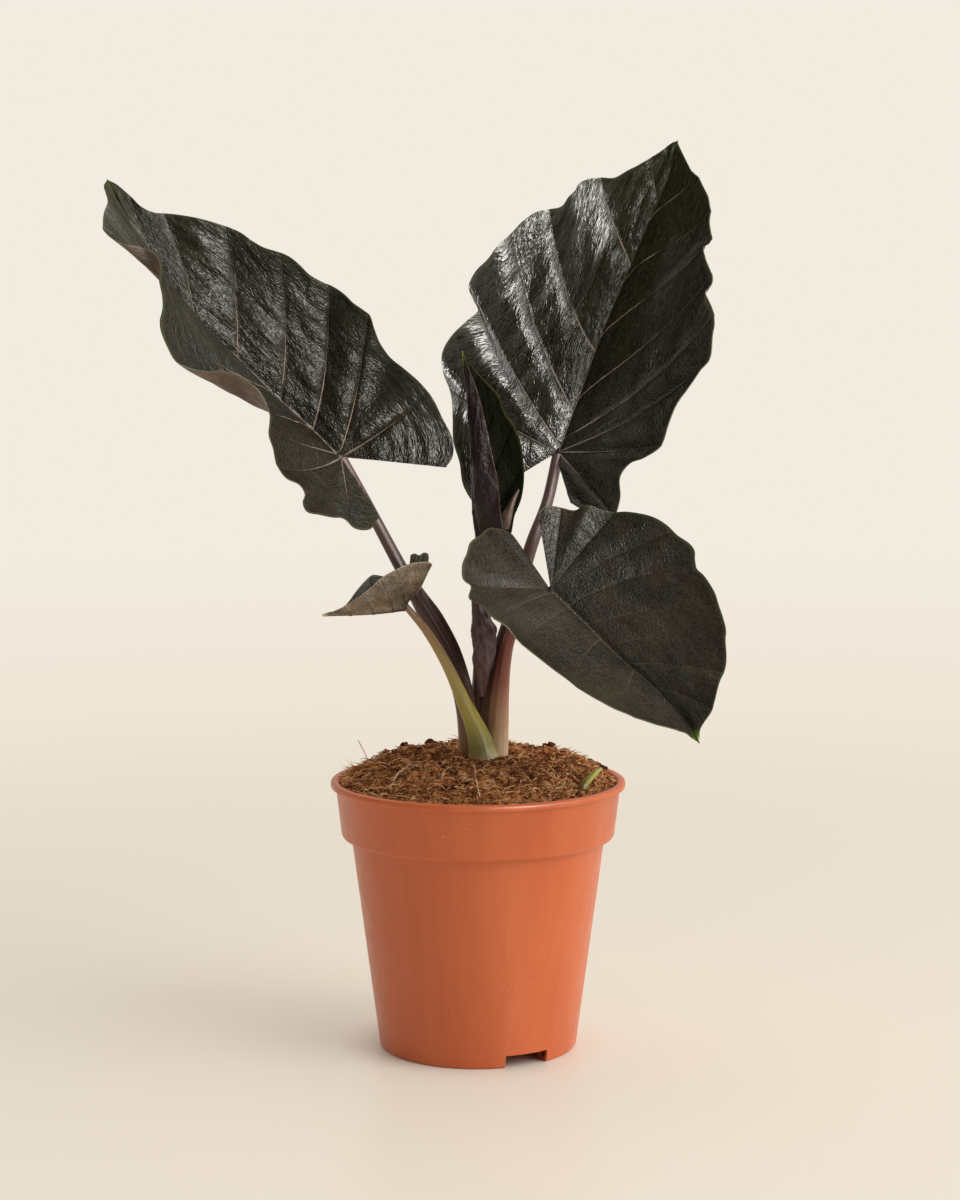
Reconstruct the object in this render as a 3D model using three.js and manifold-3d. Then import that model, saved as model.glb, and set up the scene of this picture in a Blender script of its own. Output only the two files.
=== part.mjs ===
// Potted alocasia: four waved leaves, a rolled new leaf and a young shoot in a 12 cm nursery pot.
// Millimetres, +Z up, the front of the plant towards -Y.
// The origin is the middle of the pot's underside, where a flat pad stands on the surface.

import * as THREE from 'three';
import { mergeVertices } from 'three/addons/utils/BufferGeometryUtils.js';
import Module from 'manifold-3d';

const wasm = await Module();
wasm.setup();

// ---- Driving dimensions ----

const CLEARANCE = 0.3; // left between neighbouring pieces
const SHORTEST_EDGE = 0.02;

const POT_HEIGHT = 110;
const RIM_RADIUS = 60;
const LIP_HEIGHT = 3;
const BAND_TOP_RADIUS = 57.8;
const BAND_FOOT_RADIUS = 55.7;
const BAND_FOOT_HEIGHT = 86.7;
const BODY_TOP_RADIUS = 51.5;
const FOOT_RADIUS = 40.5;
const POT_WALL = 1.5;
const POT_SIDES = 36;
const DRAIN_RISE = 3; // the ring-shaped channel under the pot
const DRAIN_INNER_RADIUS = 15;
const DRAIN_OUTER_RADIUS = 34;
const DRAIN_HOLE_RADIUS = 3;
const DRAIN_HOLES = 6;
const NOTCH_WIDTH = 19; // two notches let the channel drain sideways
const NOTCH_ANGLE = -63.4; // degrees from +X, the notch seen from the front

const MIX_EDGE_HEIGHT = 108.5;
const MIX_DOME_HEIGHT = 119;
const MIX_SHOULDER_RADIUS = 44;
const MIX_CRUMBS = 16;
const MIX_SEED = 7;

const CORM_RADIUS = 13;
const CORM_CENTRE = [2, 3, 98];

const BLADE_THICKNESS = 0.8;
const RIB_RELIEF = 1.1; // how far the midrib stands out under a blade
const BLADE_ROWS = 30; // rays from the midrib to each margin
const FAN_ROWS = 14; // rays that start at the stalk
const RAY_SWEEP = 1.35; // how late the rays leave the stalk along the midrib
const RAY_BOW = 0.06; // sideways bow of a ray, as a share of its length
const FREE_ROWS = 14; // rays beside the notch, which bow and bulge less
const CUP_AT = 0.65;
const COLUMNS = [0, 0.1, 0.34, 0.67, 1];

// ---- Colours and finishes ----

const finish = (color, roughness) => new THREE.MeshStandardMaterial({ color, roughness, metalness: 0 });

const terracottaPlastic = finish(0xbe5f37, 0.42);
const brownMix = finish(0x6e4b2d, 0.95);
const cormBrown = finish(0x7a5a3c, 0.8);
const blackLeaf = finish(0x30302a, 0.38);
const greyLeaf = finish(0x4b4b41, 0.5);
const rolledLeaf = finish(0x46302f, 0.4);
const oldLeaf = finish(0x6f6352, 0.6);
const purpleStalk = finish(0x503737, 0.45);
const mauveStalk = finish(0x6b4a48, 0.45);
const redStalk = finish(0x8c4f45, 0.45);
const greenStalk = finish(0xa59a4b, 0.45);
const drySheath = finish(0x5b4a50, 0.5);
const shootGreen = finish(0xa3a040, 0.5);

// ---- Solids: joining and cutting closed meshes ----

function toSolid(geometry) {
  const bare = geometry.clone();
  bare.deleteAttribute('normal');
  bare.deleteAttribute('uv');
  const merged = mergeVertices(bare, 1e-4);
  const kept = [];
  const index = merged.index.array;
  for (let i = 0; i < index.length; i += 3) {
    const [a, b, c] = [index[i], index[i + 1], index[i + 2]];
    if (a !== b && b !== c && c !== a) kept.push(a, b, c);
  }
  return new wasm.Manifold(new wasm.Mesh({
    numProp: 3,
    vertProperties: Float32Array.from(merged.attributes.position.array),
    triVerts: Uint32Array.from(kept),
  }));
}

function fromSolid(solid) {
  const mesh = solid.getMesh();
  const geometry = new THREE.BufferGeometry();
  geometry.setAttribute('position', new THREE.BufferAttribute(Float32Array.from(mesh.vertProperties), 3));
  geometry.setIndex(new THREE.BufferAttribute(Uint32Array.from(mesh.triVerts), 1));
  geometry.computeVertexNormals();
  return geometry;
}

const cutAll = (solid, tools) => tools.reduce((left, tool) => left.subtract(tool), solid);

// A cut may leave a scrap beside the piece itself, which is the largest body, and edges too short to keep.
function mainBody(solid) {
  const bodies = solid.decompose().sort((a, b) => b.volume() - a.volume());
  return bodies[0].simplify(SHORTEST_EDGE);
}

function named(name, solid, material) {
  const mesh = new THREE.Mesh(fromSolid(solid), material);
  mesh.name = name;
  return mesh;
}

// A lathe turned about +Z from [radius, height] points.
function turned(profile, sides) {
  const points = profile.map(([radius, height]) => new THREE.Vector2(radius, height));
  return new THREE.LatheGeometry(points, sides).rotateX(Math.PI / 2);
}

const curveThrough = (points) => new THREE.CatmullRomCurve3(points.map((p) => new THREE.Vector3(...p)));

// ---- Stalks: a closed cylinder bent along a curve ----
// Each stop is [x, y, z, radius]; `grow` widens the whole stalk, for the hole that it stands in.

function stalk(stops, { sides = 10, steps = 12, flatten = 1, grow = 0 } = {}) {
  const path = curveThrough(stops.map(([x, y, z]) => [x, y, z]));
  const width = curveThrough(stops.map(([, , , radius]) => [radius, 0, 0]));
  const geometry = new THREE.CylinderGeometry(1, 1, 1, sides, steps);
  const position = geometry.attributes.position;
  const side = new THREE.Vector3();
  const depth = new THREE.Vector3();
  const away = new THREE.Vector3(0, 1, 0);
  for (let i = 0; i < position.count; i++) {
    const along = position.getY(i) + 0.5;
    const centre = path.getPoint(along);
    const heading = path.getTangent(along);
    side.crossVectors(away, heading).normalize();
    depth.crossVectors(heading, side);
    const radius = width.getPoint(along).x + grow;
    centre.addScaledVector(side, position.getX(i) * radius);
    centre.addScaledVector(depth, -position.getZ(i) * radius * flatten);
    position.setXYZ(i, centre.x, centre.y, centre.z);
  }
  return toSolid(geometry);
}

// ---- Blades: rays from the midrib to the margin ----
// A blade is laid out in its own directions: [along the midrib, across, lift above the blade's plane].
// `left` and `right` are the margins from the notch beside the stalk, round the lobe, to the tip.
// `fan` counts the margin points whose rays all start at the stalk. `cup` bulges the rays downwards by
// that share of their length, most of all at `cupAt` of the way out.

function bladeAxes(junction, tip, facing) {
  const origin = new THREE.Vector3(...junction);
  const along = new THREE.Vector3(...tip).sub(origin);
  const length = along.length();
  along.normalize();
  const up = new THREE.Vector3(...facing).addScaledVector(along, -along.dot(new THREE.Vector3(...facing)));
  up.normalize();
  const across = new THREE.Vector3().crossVectors(along, up);
  const place = new THREE.Matrix4().makeBasis(along, across, up).setPosition(origin);
  return { place, length };
}

// One margin, sampled so that the first rows stay in the fan at the stalk.
function marginPoint(curve, count, fan, row, rows, fanRows) {
  const split = fan / (count - 1);
  const share = row <= fanRows
    ? (split * row) / fanRows
    : split + ((1 - split) * (row - fanRows)) / (rows - fanRows);
  return curve.getPoint(share);
}

function bulgeAt(t, peak) {
  const power = peak / (1 - peak);
  return (t ** power * (1 - t)) / (peak ** power * (1 - peak));
}

function halfBlade(spec, sideName, length, rows, fanRows) {
  const half = spec[sideName];
  const sign = sideName === 'left' ? -1 : 1;
  const margin = [...half.margin, [length, 0, 0]];
  const curve = curveThrough(margin);
  const rib = curveThrough([[0, 0, 0], ...spec.rib, [length, 0, 0]]);
  const columns = spec.columns ?? COLUMNS;
  const grid = [];
  for (let row = 0; row <= rows; row++) {
    const passed = Math.max(0, (row - fanRows) / (rows - fanRows));
    const start = rib.getPoint(Math.pow(passed, RAY_SWEEP));
    const end = marginPoint(curve, margin.length, half.fan, row, rows, fanRows);
    const chord = end.clone().sub(start);
    const reach = chord.length();
    const free = THREE.MathUtils.smoothstep(row, 0, FREE_ROWS); // the notch edge itself stays straight
    const bulge = new THREE.Vector3(0, sign * chord.z, -sign * chord.y);
    grid.push(columns.map((t) => {
      const point = start.clone().addScaledVector(chord, t);
      point.addScaledVector(bulge, half.cup * free * bulgeAt(t, half.cupAt ?? CUP_AT));
      point.x -= RAY_BOW * reach * free * bulgeAt(t, 0.5);
      return point;
    }));
  }
  return grid;
}

function blade(spec, grow = 0) {
  const { place, length } = bladeAxes(spec.junction, spec.tip, spec.facing);
  const rows = spec.rows ?? BLADE_ROWS;
  const fanRows = spec.fanRows ?? FAN_ROWS;
  const columns = spec.columns ?? COLUMNS;
  const sheet = [];
  const faces = [];
  const ids = new Map();
  const idOf = (point) => {
    const key = [point.x, point.y, point.z].map((v) => v.toFixed(4)).join(' ');
    if (!ids.has(key)) {
      ids.set(key, sheet.length);
      sheet.push(point);
    }
    return ids.get(key);
  };
  const ribIds = new Set();
  const addFace = (a, b, c) => {
    if (a !== b && b !== c && c !== a) faces.push([a, b, c]);
  };
  for (const sideName of ['left', 'right']) {
    const grid = halfBlade(spec, sideName, length, rows, fanRows).map((line) => line.map(idOf));
    for (let row = 0; row < rows; row++) {
      ribIds.add(grid[row][0]);
      for (let col = 0; col + 1 < columns.length; col++) {
        const [a, b] = [grid[row][col], grid[row][col + 1]];
        const [c, d] = [grid[row + 1][col], grid[row + 1][col + 1]];
        if (sideName === 'right') {
          addFace(a, b, d);
          addFace(a, d, c);
        } else {
          addFace(a, d, b);
          addFace(a, c, d);
        }
      }
    }
  }
  const relief = spec.relief ?? RIB_RELIEF;
  return thickSheet(sheet.map((point) => point.applyMatrix4(place)), faces, ribIds, relief, grow);
}

function outwardAtMargin(sheet, normals, edges) {
  const spread = sheet.map(() => new THREE.Vector3());
  for (const [from, to] of edges) {
    const outward = sheet[to].clone().sub(sheet[from]).normalize().cross(normals[from]);
    spread[from].add(outward);
    spread[to].add(outward);
  }
  return spread.map((outward) => outward.normalize());
}

// Both faces of a blade keep the same triangles, and a strip closes them round the margin.
function thickSheet(sheet, faces, ribIds, relief, grow) {
  const normals = sheet.map(() => new THREE.Vector3());
  const edges = new Map();
  for (const [a, b, c] of faces) {
    const normal = new THREE.Vector3().crossVectors(
      sheet[b].clone().sub(sheet[a]), sheet[c].clone().sub(sheet[a]));
    for (const id of [a, b, c]) normals[id].add(normal);
    for (const [from, to] of [[a, b], [b, c], [c, a]]) {
      if (!edges.delete(`${to} ${from}`)) edges.set(`${from} ${to}`, [from, to]);
    }
  }
  for (const normal of normals) normal.normalize();
  const spread = outwardAtMargin(sheet, normals, [...edges.values()]);
  const half = BLADE_THICKNESS / 2 + grow;
  const wide = sheet.map((point, id) => point.clone().addScaledVector(spread[id], grow));
  const above = wide.map((point, id) => point.clone().addScaledVector(normals[id], half));
  const below = wide.map((point, id) =>
    point.clone().addScaledVector(normals[id], -half - (ribIds.has(id) ? relief : 0)));
  const count = sheet.length;
  const triangles = [];
  for (const [a, b, c] of faces) triangles.push(a, b, c, count + a, count + c, count + b);
  for (const [from, to] of edges.values()) {
    triangles.push(from, count + to, to, from, count + from, count + to);
  }
  const geometry = new THREE.BufferGeometry();
  geometry.setFromPoints([...above, ...below]);
  geometry.setIndex(triangles);
  return toSolid(geometry);
}

// ---- Pot: rolled lip, upright band, tapered body, raised drain channel and notched foot ----

function potInside(radiusGap, heightGap) {
  return [
    [0, POT_WALL + heightGap],
    [DRAIN_INNER_RADIUS - 2, POT_WALL + heightGap],
    [DRAIN_INNER_RADIUS - 0.5, POT_WALL + DRAIN_RISE + heightGap],
    [DRAIN_OUTER_RADIUS + 0.5, POT_WALL + DRAIN_RISE + heightGap],
    [DRAIN_OUTER_RADIUS + 2, POT_WALL + heightGap],
    [FOOT_RADIUS - POT_WALL - 0.6 - radiusGap, POT_WALL + heightGap],
    [FOOT_RADIUS - POT_WALL - radiusGap, POT_WALL + 1 + heightGap],
    [BODY_TOP_RADIUS - POT_WALL - radiusGap, BAND_FOOT_HEIGHT + POT_WALL - 0.6 + heightGap],
    [BAND_FOOT_RADIUS - POT_WALL - radiusGap, BAND_FOOT_HEIGHT + POT_WALL + 0.6 + heightGap],
  ];
}

function potProfile() {
  const lipFoot = POT_HEIGHT - LIP_HEIGHT;
  const outside = [
    [0, 0],
    [DRAIN_INNER_RADIUS, 0],
    [DRAIN_INNER_RADIUS + 1.5, DRAIN_RISE],
    [DRAIN_OUTER_RADIUS - 1.5, DRAIN_RISE],
    [DRAIN_OUTER_RADIUS, 0],
    [FOOT_RADIUS - 1.2, 0],
    [FOOT_RADIUS, 1.4],
    [BODY_TOP_RADIUS, BAND_FOOT_HEIGHT - 0.9],
    [BODY_TOP_RADIUS + 0.8, BAND_FOOT_HEIGHT],
    [BAND_FOOT_RADIUS - 1.4, BAND_FOOT_HEIGHT],
    [BAND_FOOT_RADIUS, BAND_FOOT_HEIGHT + 1.8],
    [BAND_TOP_RADIUS, lipFoot - 0.2],
    [RIM_RADIUS - 0.5, lipFoot],
    [RIM_RADIUS, lipFoot + 0.9],
    [RIM_RADIUS, POT_HEIGHT - 0.8],
    [RIM_RADIUS - 0.8, POT_HEIGHT],
    [BAND_TOP_RADIUS - 0.6, POT_HEIGHT],
    [BAND_TOP_RADIUS - POT_WALL, POT_HEIGHT - 1],
  ];
  return [...outside, ...potInside(0, 0).reverse()];
}

function notchTool() {
  const box = new THREE.BoxGeometry(FOOT_RADIUS, NOTCH_WIDTH, 2 * DRAIN_RISE);
  box.translate(DRAIN_OUTER_RADIUS - 2 + FOOT_RADIUS / 2, 0, 0);
  return box;
}

function pot() {
  const tools = [];
  for (const turn of [0, 180]) {
    tools.push(toSolid(notchTool().rotateZ(THREE.MathUtils.degToRad(NOTCH_ANGLE + turn))));
  }
  const holeRing = (DRAIN_INNER_RADIUS + DRAIN_OUTER_RADIUS) / 2;
  for (let i = 0; i < DRAIN_HOLES; i++) {
    const hole = new THREE.CylinderGeometry(DRAIN_HOLE_RADIUS, DRAIN_HOLE_RADIUS, 4 * DRAIN_RISE, 10);
    hole.rotateX(Math.PI / 2).translate(holeRing, 0, DRAIN_RISE);
    tools.push(toSolid(hole.rotateZ((2 * Math.PI * i) / DRAIN_HOLES)));
  }
  return cutAll(toSolid(turned(potProfile(), POT_SIDES)), tools);
}

// ---- Potting mix: fills the pot, domed and bumpy on top, with coarse crumbs ----

function mixDomeHeight(radius) {
  const edge = BAND_TOP_RADIUS - POT_WALL;
  if (radius >= edge) return MIX_EDGE_HEIGHT;
  const rise = THREE.MathUtils.smoothstep(edge - radius, 0, edge - MIX_SHOULDER_RADIUS);
  const crown = 1 - (radius / edge) ** 2;
  return MIX_EDGE_HEIGHT + (MIX_DOME_HEIGHT - MIX_EDGE_HEIGHT) * (0.7 * rise + 0.3 * crown);
}

// Low bumps of the loose surface, in step with nothing so that they look strewn.
function mixBump(x, y) {
  return 0.55 * Math.sin(0.31 * x + 1.3) * Math.cos(0.27 * y) + 0.5 * Math.sin(0.53 * y - 0.41 * x)
    + 0.4 * Math.cos(0.83 * x + 0.37 * y);
}

function crumbs() {
  let state = MIX_SEED;
  const random = () => {
    state = (state * 16807) % 2147483647;
    return state / 2147483647;
  };
  const list = [];
  for (let i = 0; i < MIX_CRUMBS; i++) {
    const size = 1.1 + 1.3 * random();
    const radius = 16 + 34 * Math.sqrt(random());
    const angle = 2 * Math.PI * random();
    const [x, y] = [radius * Math.cos(angle), radius * Math.sin(angle)];
    const crumb = new THREE.IcosahedronGeometry(size, 0);
    crumb.rotateX(3 * random()).scale(1.3, 1, 0.8).rotateZ(6 * random());
    crumb.translate(x, y, mixDomeHeight(radius) + mixBump(x, y) + 0.25 * size);
    list.push(toSolid(crumb));
  }
  return list;
}

function pottingMix(stalkHoles) {
  const profile = potInside(CLEARANCE, CLEARANCE);
  const edge = BAND_TOP_RADIUS - POT_WALL - CLEARANCE - 0.3;
  profile.push([edge, MIX_EDGE_HEIGHT]);
  for (const radius of [51, 45, 38, 30, 21, 11, 0]) {
    profile.push([radius, mixDomeHeight(radius)]);
  }
  const geometry = turned(profile, POT_SIDES);
  const position = geometry.attributes.position;
  for (let i = 0; i < position.count; i++) {
    const [x, y, z] = [position.getX(i), position.getY(i), position.getZ(i)];
    if (z > MIX_EDGE_HEIGHT + 0.01) position.setZ(i, z + mixBump(x, y));
  }
  const heaped = crumbs().reduce((mix, crumb) => mix.add(crumb), toSolid(geometry));
  return mainBody(cutAll(heaped, stalkHoles));
}

function corm(grow = 0) {
  const ball = new THREE.IcosahedronGeometry(CORM_RADIUS + grow, 2);
  return toSolid(ball.translate(...CORM_CENTRE));
}

// ---- Leaves ----

const leftLeaf = {
  junction: [-55.4, 5, 240.7],
  tip: [-146.9, -4, 350.9],
  facing: [0.48, -0.81, 0.33],
  rib: [[18, 0, -3], [34, -2, -4], [52, -4, -4], [69, -7, -3], [82, -9, -2], [106, -6, 0], [125, -5, 1]],
  left: {
    cup: 0.07,
    cupAt: 0.72,
    fan: 13,
    margin: [
      [-4, -6, 6], [-11, -7, 7], [-20, -6, 6], [-27, -11, 10], [-26, -24, 17], [-19, -27, 17],
      [-12, -36, 25], [-6, -43, 27], [-1, -42, 25], [2, -37, 24], [9, -39, 25], [17, -37, 24],
      [24, -32, 23], [32, -28, 25], [41, -26, 28], [51, -30, 31], [58, -35, 31], [63, -41, 29],
      [72, -45, 27], [84, -39, 24], [92, -30, 25], [99, -26, 25], [107, -17, 20], [114, -20, 20],
      [119, -26, 21], [126, -26, 17], [131, -21, 13], [136, -12, 7], [141, -6, 3],
    ],
  },
  right: {
    cup: 0.08,
    fan: 10,
    margin: [
      [-5, 6, 2], [-13, 13, 7], [-22, 20, 12], [-31, 25, 16], [-28, 32, 19], [-15, 36, 20],
      [-4, 37, 23], [8, 37, 22], [19, 36, 19], [29, 37, 22], [36, 38, 25], [45, 38, 23],
      [55, 36, 19], [67, 32, 19], [78, 28, 19], [88, 25, 15], [100, 21, 12], [112, 13, 9],
      [120, 7, 4], [127, 2, 3], [137, 2, 1],
    ],
  },
};

const backLeaf = {
  junction: [33, 28, 241.6],
  tip: [82.8, 44, 369.4],
  facing: [-0.32, -0.92, 0.24],
  rib: [[23, -1, -2], [53, -2, -3], [83, -1, -3], [107, 0, -2], [123, 1, -1]],
  left: {
    cup: 0.06,
    fan: 10,
    margin: [
      [-6, -5, 2], [-11, -11, 4], [-20, -17, 5], [-31, -24, 8], [-23, -31, 12], [-13, -39, 13],
      [0, -44, 17], [13, -52, 18], [22, -56, 20], [33, -51, 21], [43, -49, 18], [52, -55, 20],
      [66, -51, 21], [81, -46, 17], [92, -39, 12], [100, -32, 13], [107, -30, 11], [113, -22, 7],
      [120, -12, 5], [130, -7, 2], [135, -3, 1],
    ],
  },
  right: {
    cup: 0.08,
    fan: 11,
    margin: [
      [-11, 9, 3], [-18, 15, 4], [-20, 27, 10], [-20, 37, 15], [-9, 37, 13], [3, 33, 11],
      [8, 41, 15], [18, 46, 19], [31, 46, 17], [43, 49, 17], [51, 53, 20], [63, 50, 18],
      [73, 46, 16], [80, 42, 16], [85, 42, 17], [92, 35, 13], [98, 31, 10], [102, 34, 13],
      [114, 27, 10], [124, 18, 8], [131, 9, 3],
    ],
  },
};

const frontLeaf = {
  junction: [29, -18, 189.1],
  tip: [85.5, -52, 133.1],
  facing: [0.17, -0.76, 0.63],
  rib: [[18, -2, -2], [39, -3, -3], [55, -4, -2], [73, -3, -1]],
  left: {
    cup: 0.06,
    fan: 10,
    margin: [
      [-6, -6, 5], [-15, -11, 8], [-25, -14, 12], [-25, -19, 14], [-18, -24, 14], [-14, -29, 19],
      [-8, -33, 18], [-2, -37, 22], [10, -42, 27], [17, -43, 26], [26, -45, 26], [32, -43, 23],
      [41, -40, 24], [51, -37, 23], [60, -33, 20], [68, -27, 15], [75, -19, 11], [80, -11, 7],
      [83, -4, 3],
    ],
  },
  right: {
    cup: 0.1,
    fan: 9,
    margin: [
      [-9, -2, 1], [-19, -3, 1], [-28, -3, 2], [-34, 1, 4], [-32, 13, 10], [-28, 23, 14],
      [-19, 35, 21], [-14, 34, 18], [-3, 42, 25], [4, 44, 28], [14, 41, 26], [26, 38, 23],
      [39, 34, 20], [55, 30, 19], [65, 21, 12], [73, 11, 7], [80, 2, 1], [83, 1, 0],
    ],
  },
};

// Still rolled: the front half curls over the back half, which opens to the right.
const newLeaf = {
  junction: [1.6, 2, 205],
  tip: [-6.4, 0, 283.3],
  facing: [1, -0.2, 0.1],
  rows: 20,
  fanRows: 7,
  columns: [0, 0.1, 0.3, 0.5, 0.7, 0.85, 1],
  relief: 0.6,
  rib: [[10, 0, -1.2], [20, 0, -1.2], [35, 0, -0.5], [55, 0, 0.3]],
  left: {
    cup: 0.38,
    cupAt: 0.5,
    fan: 4,
    margin: [
      [-3, -2, 4], [0, -4, 8], [6, -5, 10], [14, -5, 10], [22, -4, 10], [31, -4, 9.5], [43, -3.5, 8],
      [55, -3, 6.5], [63, -2, 5], [71, -1, 2.5],
    ],
  },
  right: {
    cup: 0.22,
    cupAt: 0.5,
    fan: 4,
    margin: [
      [-3, 3, 3], [-3, 6, 7], [3, 7, 11], [10, 8, 13], [17, 8.5, 16.5], [27, 9, 18.5], [40, 8, 18.5],
      [47, 7, 16.5], [53, 6, 13.5], [60, 4, 12], [66, 3, 7.5], [73, 1.5, 2.5],
    ],
  },
};

// Small old leaf, cupped like a boat and seen from below.
const smallLeaf = {
  junction: [-29.6, -12, 182],
  tip: [-62, -18, 178.6],
  facing: [0, 0.2, 1],
  rows: 18,
  fanRows: 8,
  relief: 0.5,
  rib: [[8, 0, -0.7], [16, 0, -0.8], [24, 0, -0.4]],
  left: {
    cup: 0.2,
    fan: 6,
    margin: [
      [-4, -2, 3], [-7, -4, 6], [-10, -6, 11], [-12, -8, 15], [-7, -9, 16], [-2, -10, 15.5], [3, -10, 14],
      [8, -10, 12], [14, -8, 8], [20, -5, 4.5], [26, -3, 2],
    ],
  },
  right: {
    cup: 0.2,
    fan: 6,
    margin: [
      [-4, 2, 3], [-9, 4, 9], [-13, 5, 17], [-10, 6, 19.5], [-6, 7, 18], [-3, 9, 13], [2, 10, 12], [6, 11, 13],
      [12, 11, 13], [17, 9, 9], [22, 6, 4], [27, 3, 1.5],
    ],
  },
};

// ---- Stalks, as [x, y, z, radius] from the corm up to the blade ----

const smallLeafStalk = [
  [1.2, -5.5, 103, 5], [1.2, -6.5, 119, 5], [0.2, -7, 127, 4.5], [-2.4, -8, 135.5, 3.7], [-6, -9, 143.5, 2.9],
  [-12.7, -11, 158.5, 2.1], [-20.7, -12, 172, 1.7], [-28.5, -12, 181.5, 1.3],
];
const leftLeafStalk = [
  [-3.6, 3, 103, 4.2], [-3.6, 2.8, 118, 4.2], [-4.8, 2.5, 138, 4.2], [-7.5, 2, 150, 4.2], [-12, 3, 162.5, 4.4],
  [-18, 3.5, 173.5, 4.6], [-24, 4, 183.5, 3.6], [-30, 4.5, 193.5, 2.7], [-46, 5.5, 223.5, 2.3],
  [-55.2, 6, 240, 2.3],
];
const frontLeafStalk = [
  [9.2, 0.8, 103, 3.6], [9.2, 0.2, 118, 3.6], [9.4, 0, 134, 3.4], [9.8, -1, 146.5, 3], [10.7, -2, 157, 2.6],
  [12.5, -4, 167, 2.4], [17, -8, 178, 2.2], [29, -16.5, 188.5, 2],
];
const backLeafStalk = [
  [6.2, 8.4, 103, 3.9], [6.2, 8.2, 118, 3.9], [7, 8.5, 138, 3.8], [7.5, 8.5, 150, 3.7], [9.8, 9.5, 162, 3.4],
  [13.2, 11.5, 174, 3], [22, 18, 204, 2.7], [28.5, 24, 221, 2.4], [33, 29, 240.5, 2.3],
];
const newLeafStalk = [
  [-1.2, 10.6, 103, 3], [-1.2, 10.4, 118, 3], [-0.5, 9.4, 138, 2.7], [0.5, 7.5, 150, 2.8], [1.5, 5, 162, 3],
  [2.5, 3.5, 183, 3], [2, 3, 195, 2.8], [1.7, 2.6, 204.4, 2.2],
];
const sheathRoute = [
  [1.8, -1.5, 144, 1], [1.8, -2, 152, 2.6], [2.4, -3, 163, 4.4], [2, -3, 171, 4.6], [0.2, -2, 179, 2.8],
  [-1, -1, 188, 1.8],
];

function shoot(grow = 0) {
  return stalk([
    [45, -20, 106, 1.2], [44.5, -22, 110.5, 1.5], [46, -18, 114.5, 1.9], [51, -12, 117.5, 0.7],
  ], { sides: 8, steps: 8, grow });
}

// ---- Assembly ----

function buildPlant() {
  const plant = new THREE.Group();
  const add = (name, solid, material) => {
    plant.add(named(name, solid, material));
    return solid;
  };
  add('pot', pot(), terracottaPlastic);
  add('corm', corm(), cormBrown);

  const holes = [corm(CLEARANCE)];
  const addStalk = (name, stops, material, spec) => {
    const cuts = [corm(CLEARANCE), blade(spec, CLEARANCE)];
    add(name, mainBody(cutAll(stalk(stops), cuts)), material);
    holes.push(stalk(stops, { grow: CLEARANCE }));
  };
  addStalk('small_leaf_stalk', smallLeafStalk, greenStalk, smallLeaf);
  addStalk('left_leaf_stalk', leftLeafStalk, purpleStalk, leftLeaf);
  addStalk('front_leaf_stalk', frontLeafStalk, redStalk, frontLeaf);
  addStalk('back_leaf_stalk', backLeafStalk, mauveStalk, backLeaf);
  addStalk('new_leaf_stalk', newLeafStalk, purpleStalk, newLeaf);
  const sheath = stalk(sheathRoute, { sides: 12, steps: 10, flatten: 0.8 });
  add('dry_sheath', mainBody(cutAll(sheath, holes.slice(-1))), drySheath);

  add('left_leaf_blade', blade(leftLeaf), blackLeaf);
  add('back_leaf_blade', blade(backLeaf), blackLeaf);
  add('front_leaf_blade', blade(frontLeaf), greyLeaf);
  add('new_leaf_blade', blade(newLeaf), rolledLeaf);
  add('small_leaf_blade', blade(smallLeaf), oldLeaf);
  add('young_shoot', shoot(), shootGreen);
  add('potting_mix', pottingMix([...holes, shoot(CLEARANCE)]), brownMix);
  return plant;
}

const plant = buildPlant();

export default plant;
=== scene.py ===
import math
import random

import bpy
import numpy as np
from mathutils import Matrix, Vector, noise


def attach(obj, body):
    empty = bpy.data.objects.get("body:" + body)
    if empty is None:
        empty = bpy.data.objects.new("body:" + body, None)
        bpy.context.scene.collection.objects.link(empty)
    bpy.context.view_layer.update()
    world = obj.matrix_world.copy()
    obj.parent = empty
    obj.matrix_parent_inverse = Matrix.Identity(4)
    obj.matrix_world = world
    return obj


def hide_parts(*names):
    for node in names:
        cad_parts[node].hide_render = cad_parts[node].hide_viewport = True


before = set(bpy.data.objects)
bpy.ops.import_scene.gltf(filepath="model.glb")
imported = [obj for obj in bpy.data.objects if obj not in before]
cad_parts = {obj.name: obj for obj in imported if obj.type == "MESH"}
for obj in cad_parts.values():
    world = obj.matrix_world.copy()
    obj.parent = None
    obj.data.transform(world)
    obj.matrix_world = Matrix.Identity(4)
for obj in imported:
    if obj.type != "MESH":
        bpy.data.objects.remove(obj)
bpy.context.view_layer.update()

# ---- The photographer's view ----
# A camera with a long lens stands a metre in front of the pot, 30 cm up, and looks slightly down. Its place was
# worked out from the outlines of the pot's lip, band and foot.

PHOTO_PLACE = (0.0008, -1.03, 0.295)
PHOTO_PITCH = math.radians(6.2)
SENSOR_WIDTH = 36
LENS = 76.8
NEAR_LIMIT = 0.05

bpy.ops.object.camera_add(location=PHOTO_PLACE, rotation=(math.pi / 2 - PHOTO_PITCH, 0, 0))
camera = bpy.context.object
camera.name = "photo_camera"
camera.data.sensor_width = SENSOR_WIDTH
camera.data.lens = LENS
camera.data.clip_start = NEAR_LIMIT
bpy.context.scene.camera = camera
bpy.context.scene.view_settings.view_transform = "Standard"

# ---- Studio: a cream paper sweep, two soft boxes and a pale room ----
# The paper runs into the background with no horizon: by the pot it takes light and shadow, further out it glows.
# Next to the pot it already glows a little, which is painted light that lightens the pot's shadow; right under the
# pot it does not glow. The key box stands to the right, and the gloss box, nearer to the camera, gives only glints.
# The room is dim behind the camera and on its left.

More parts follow.
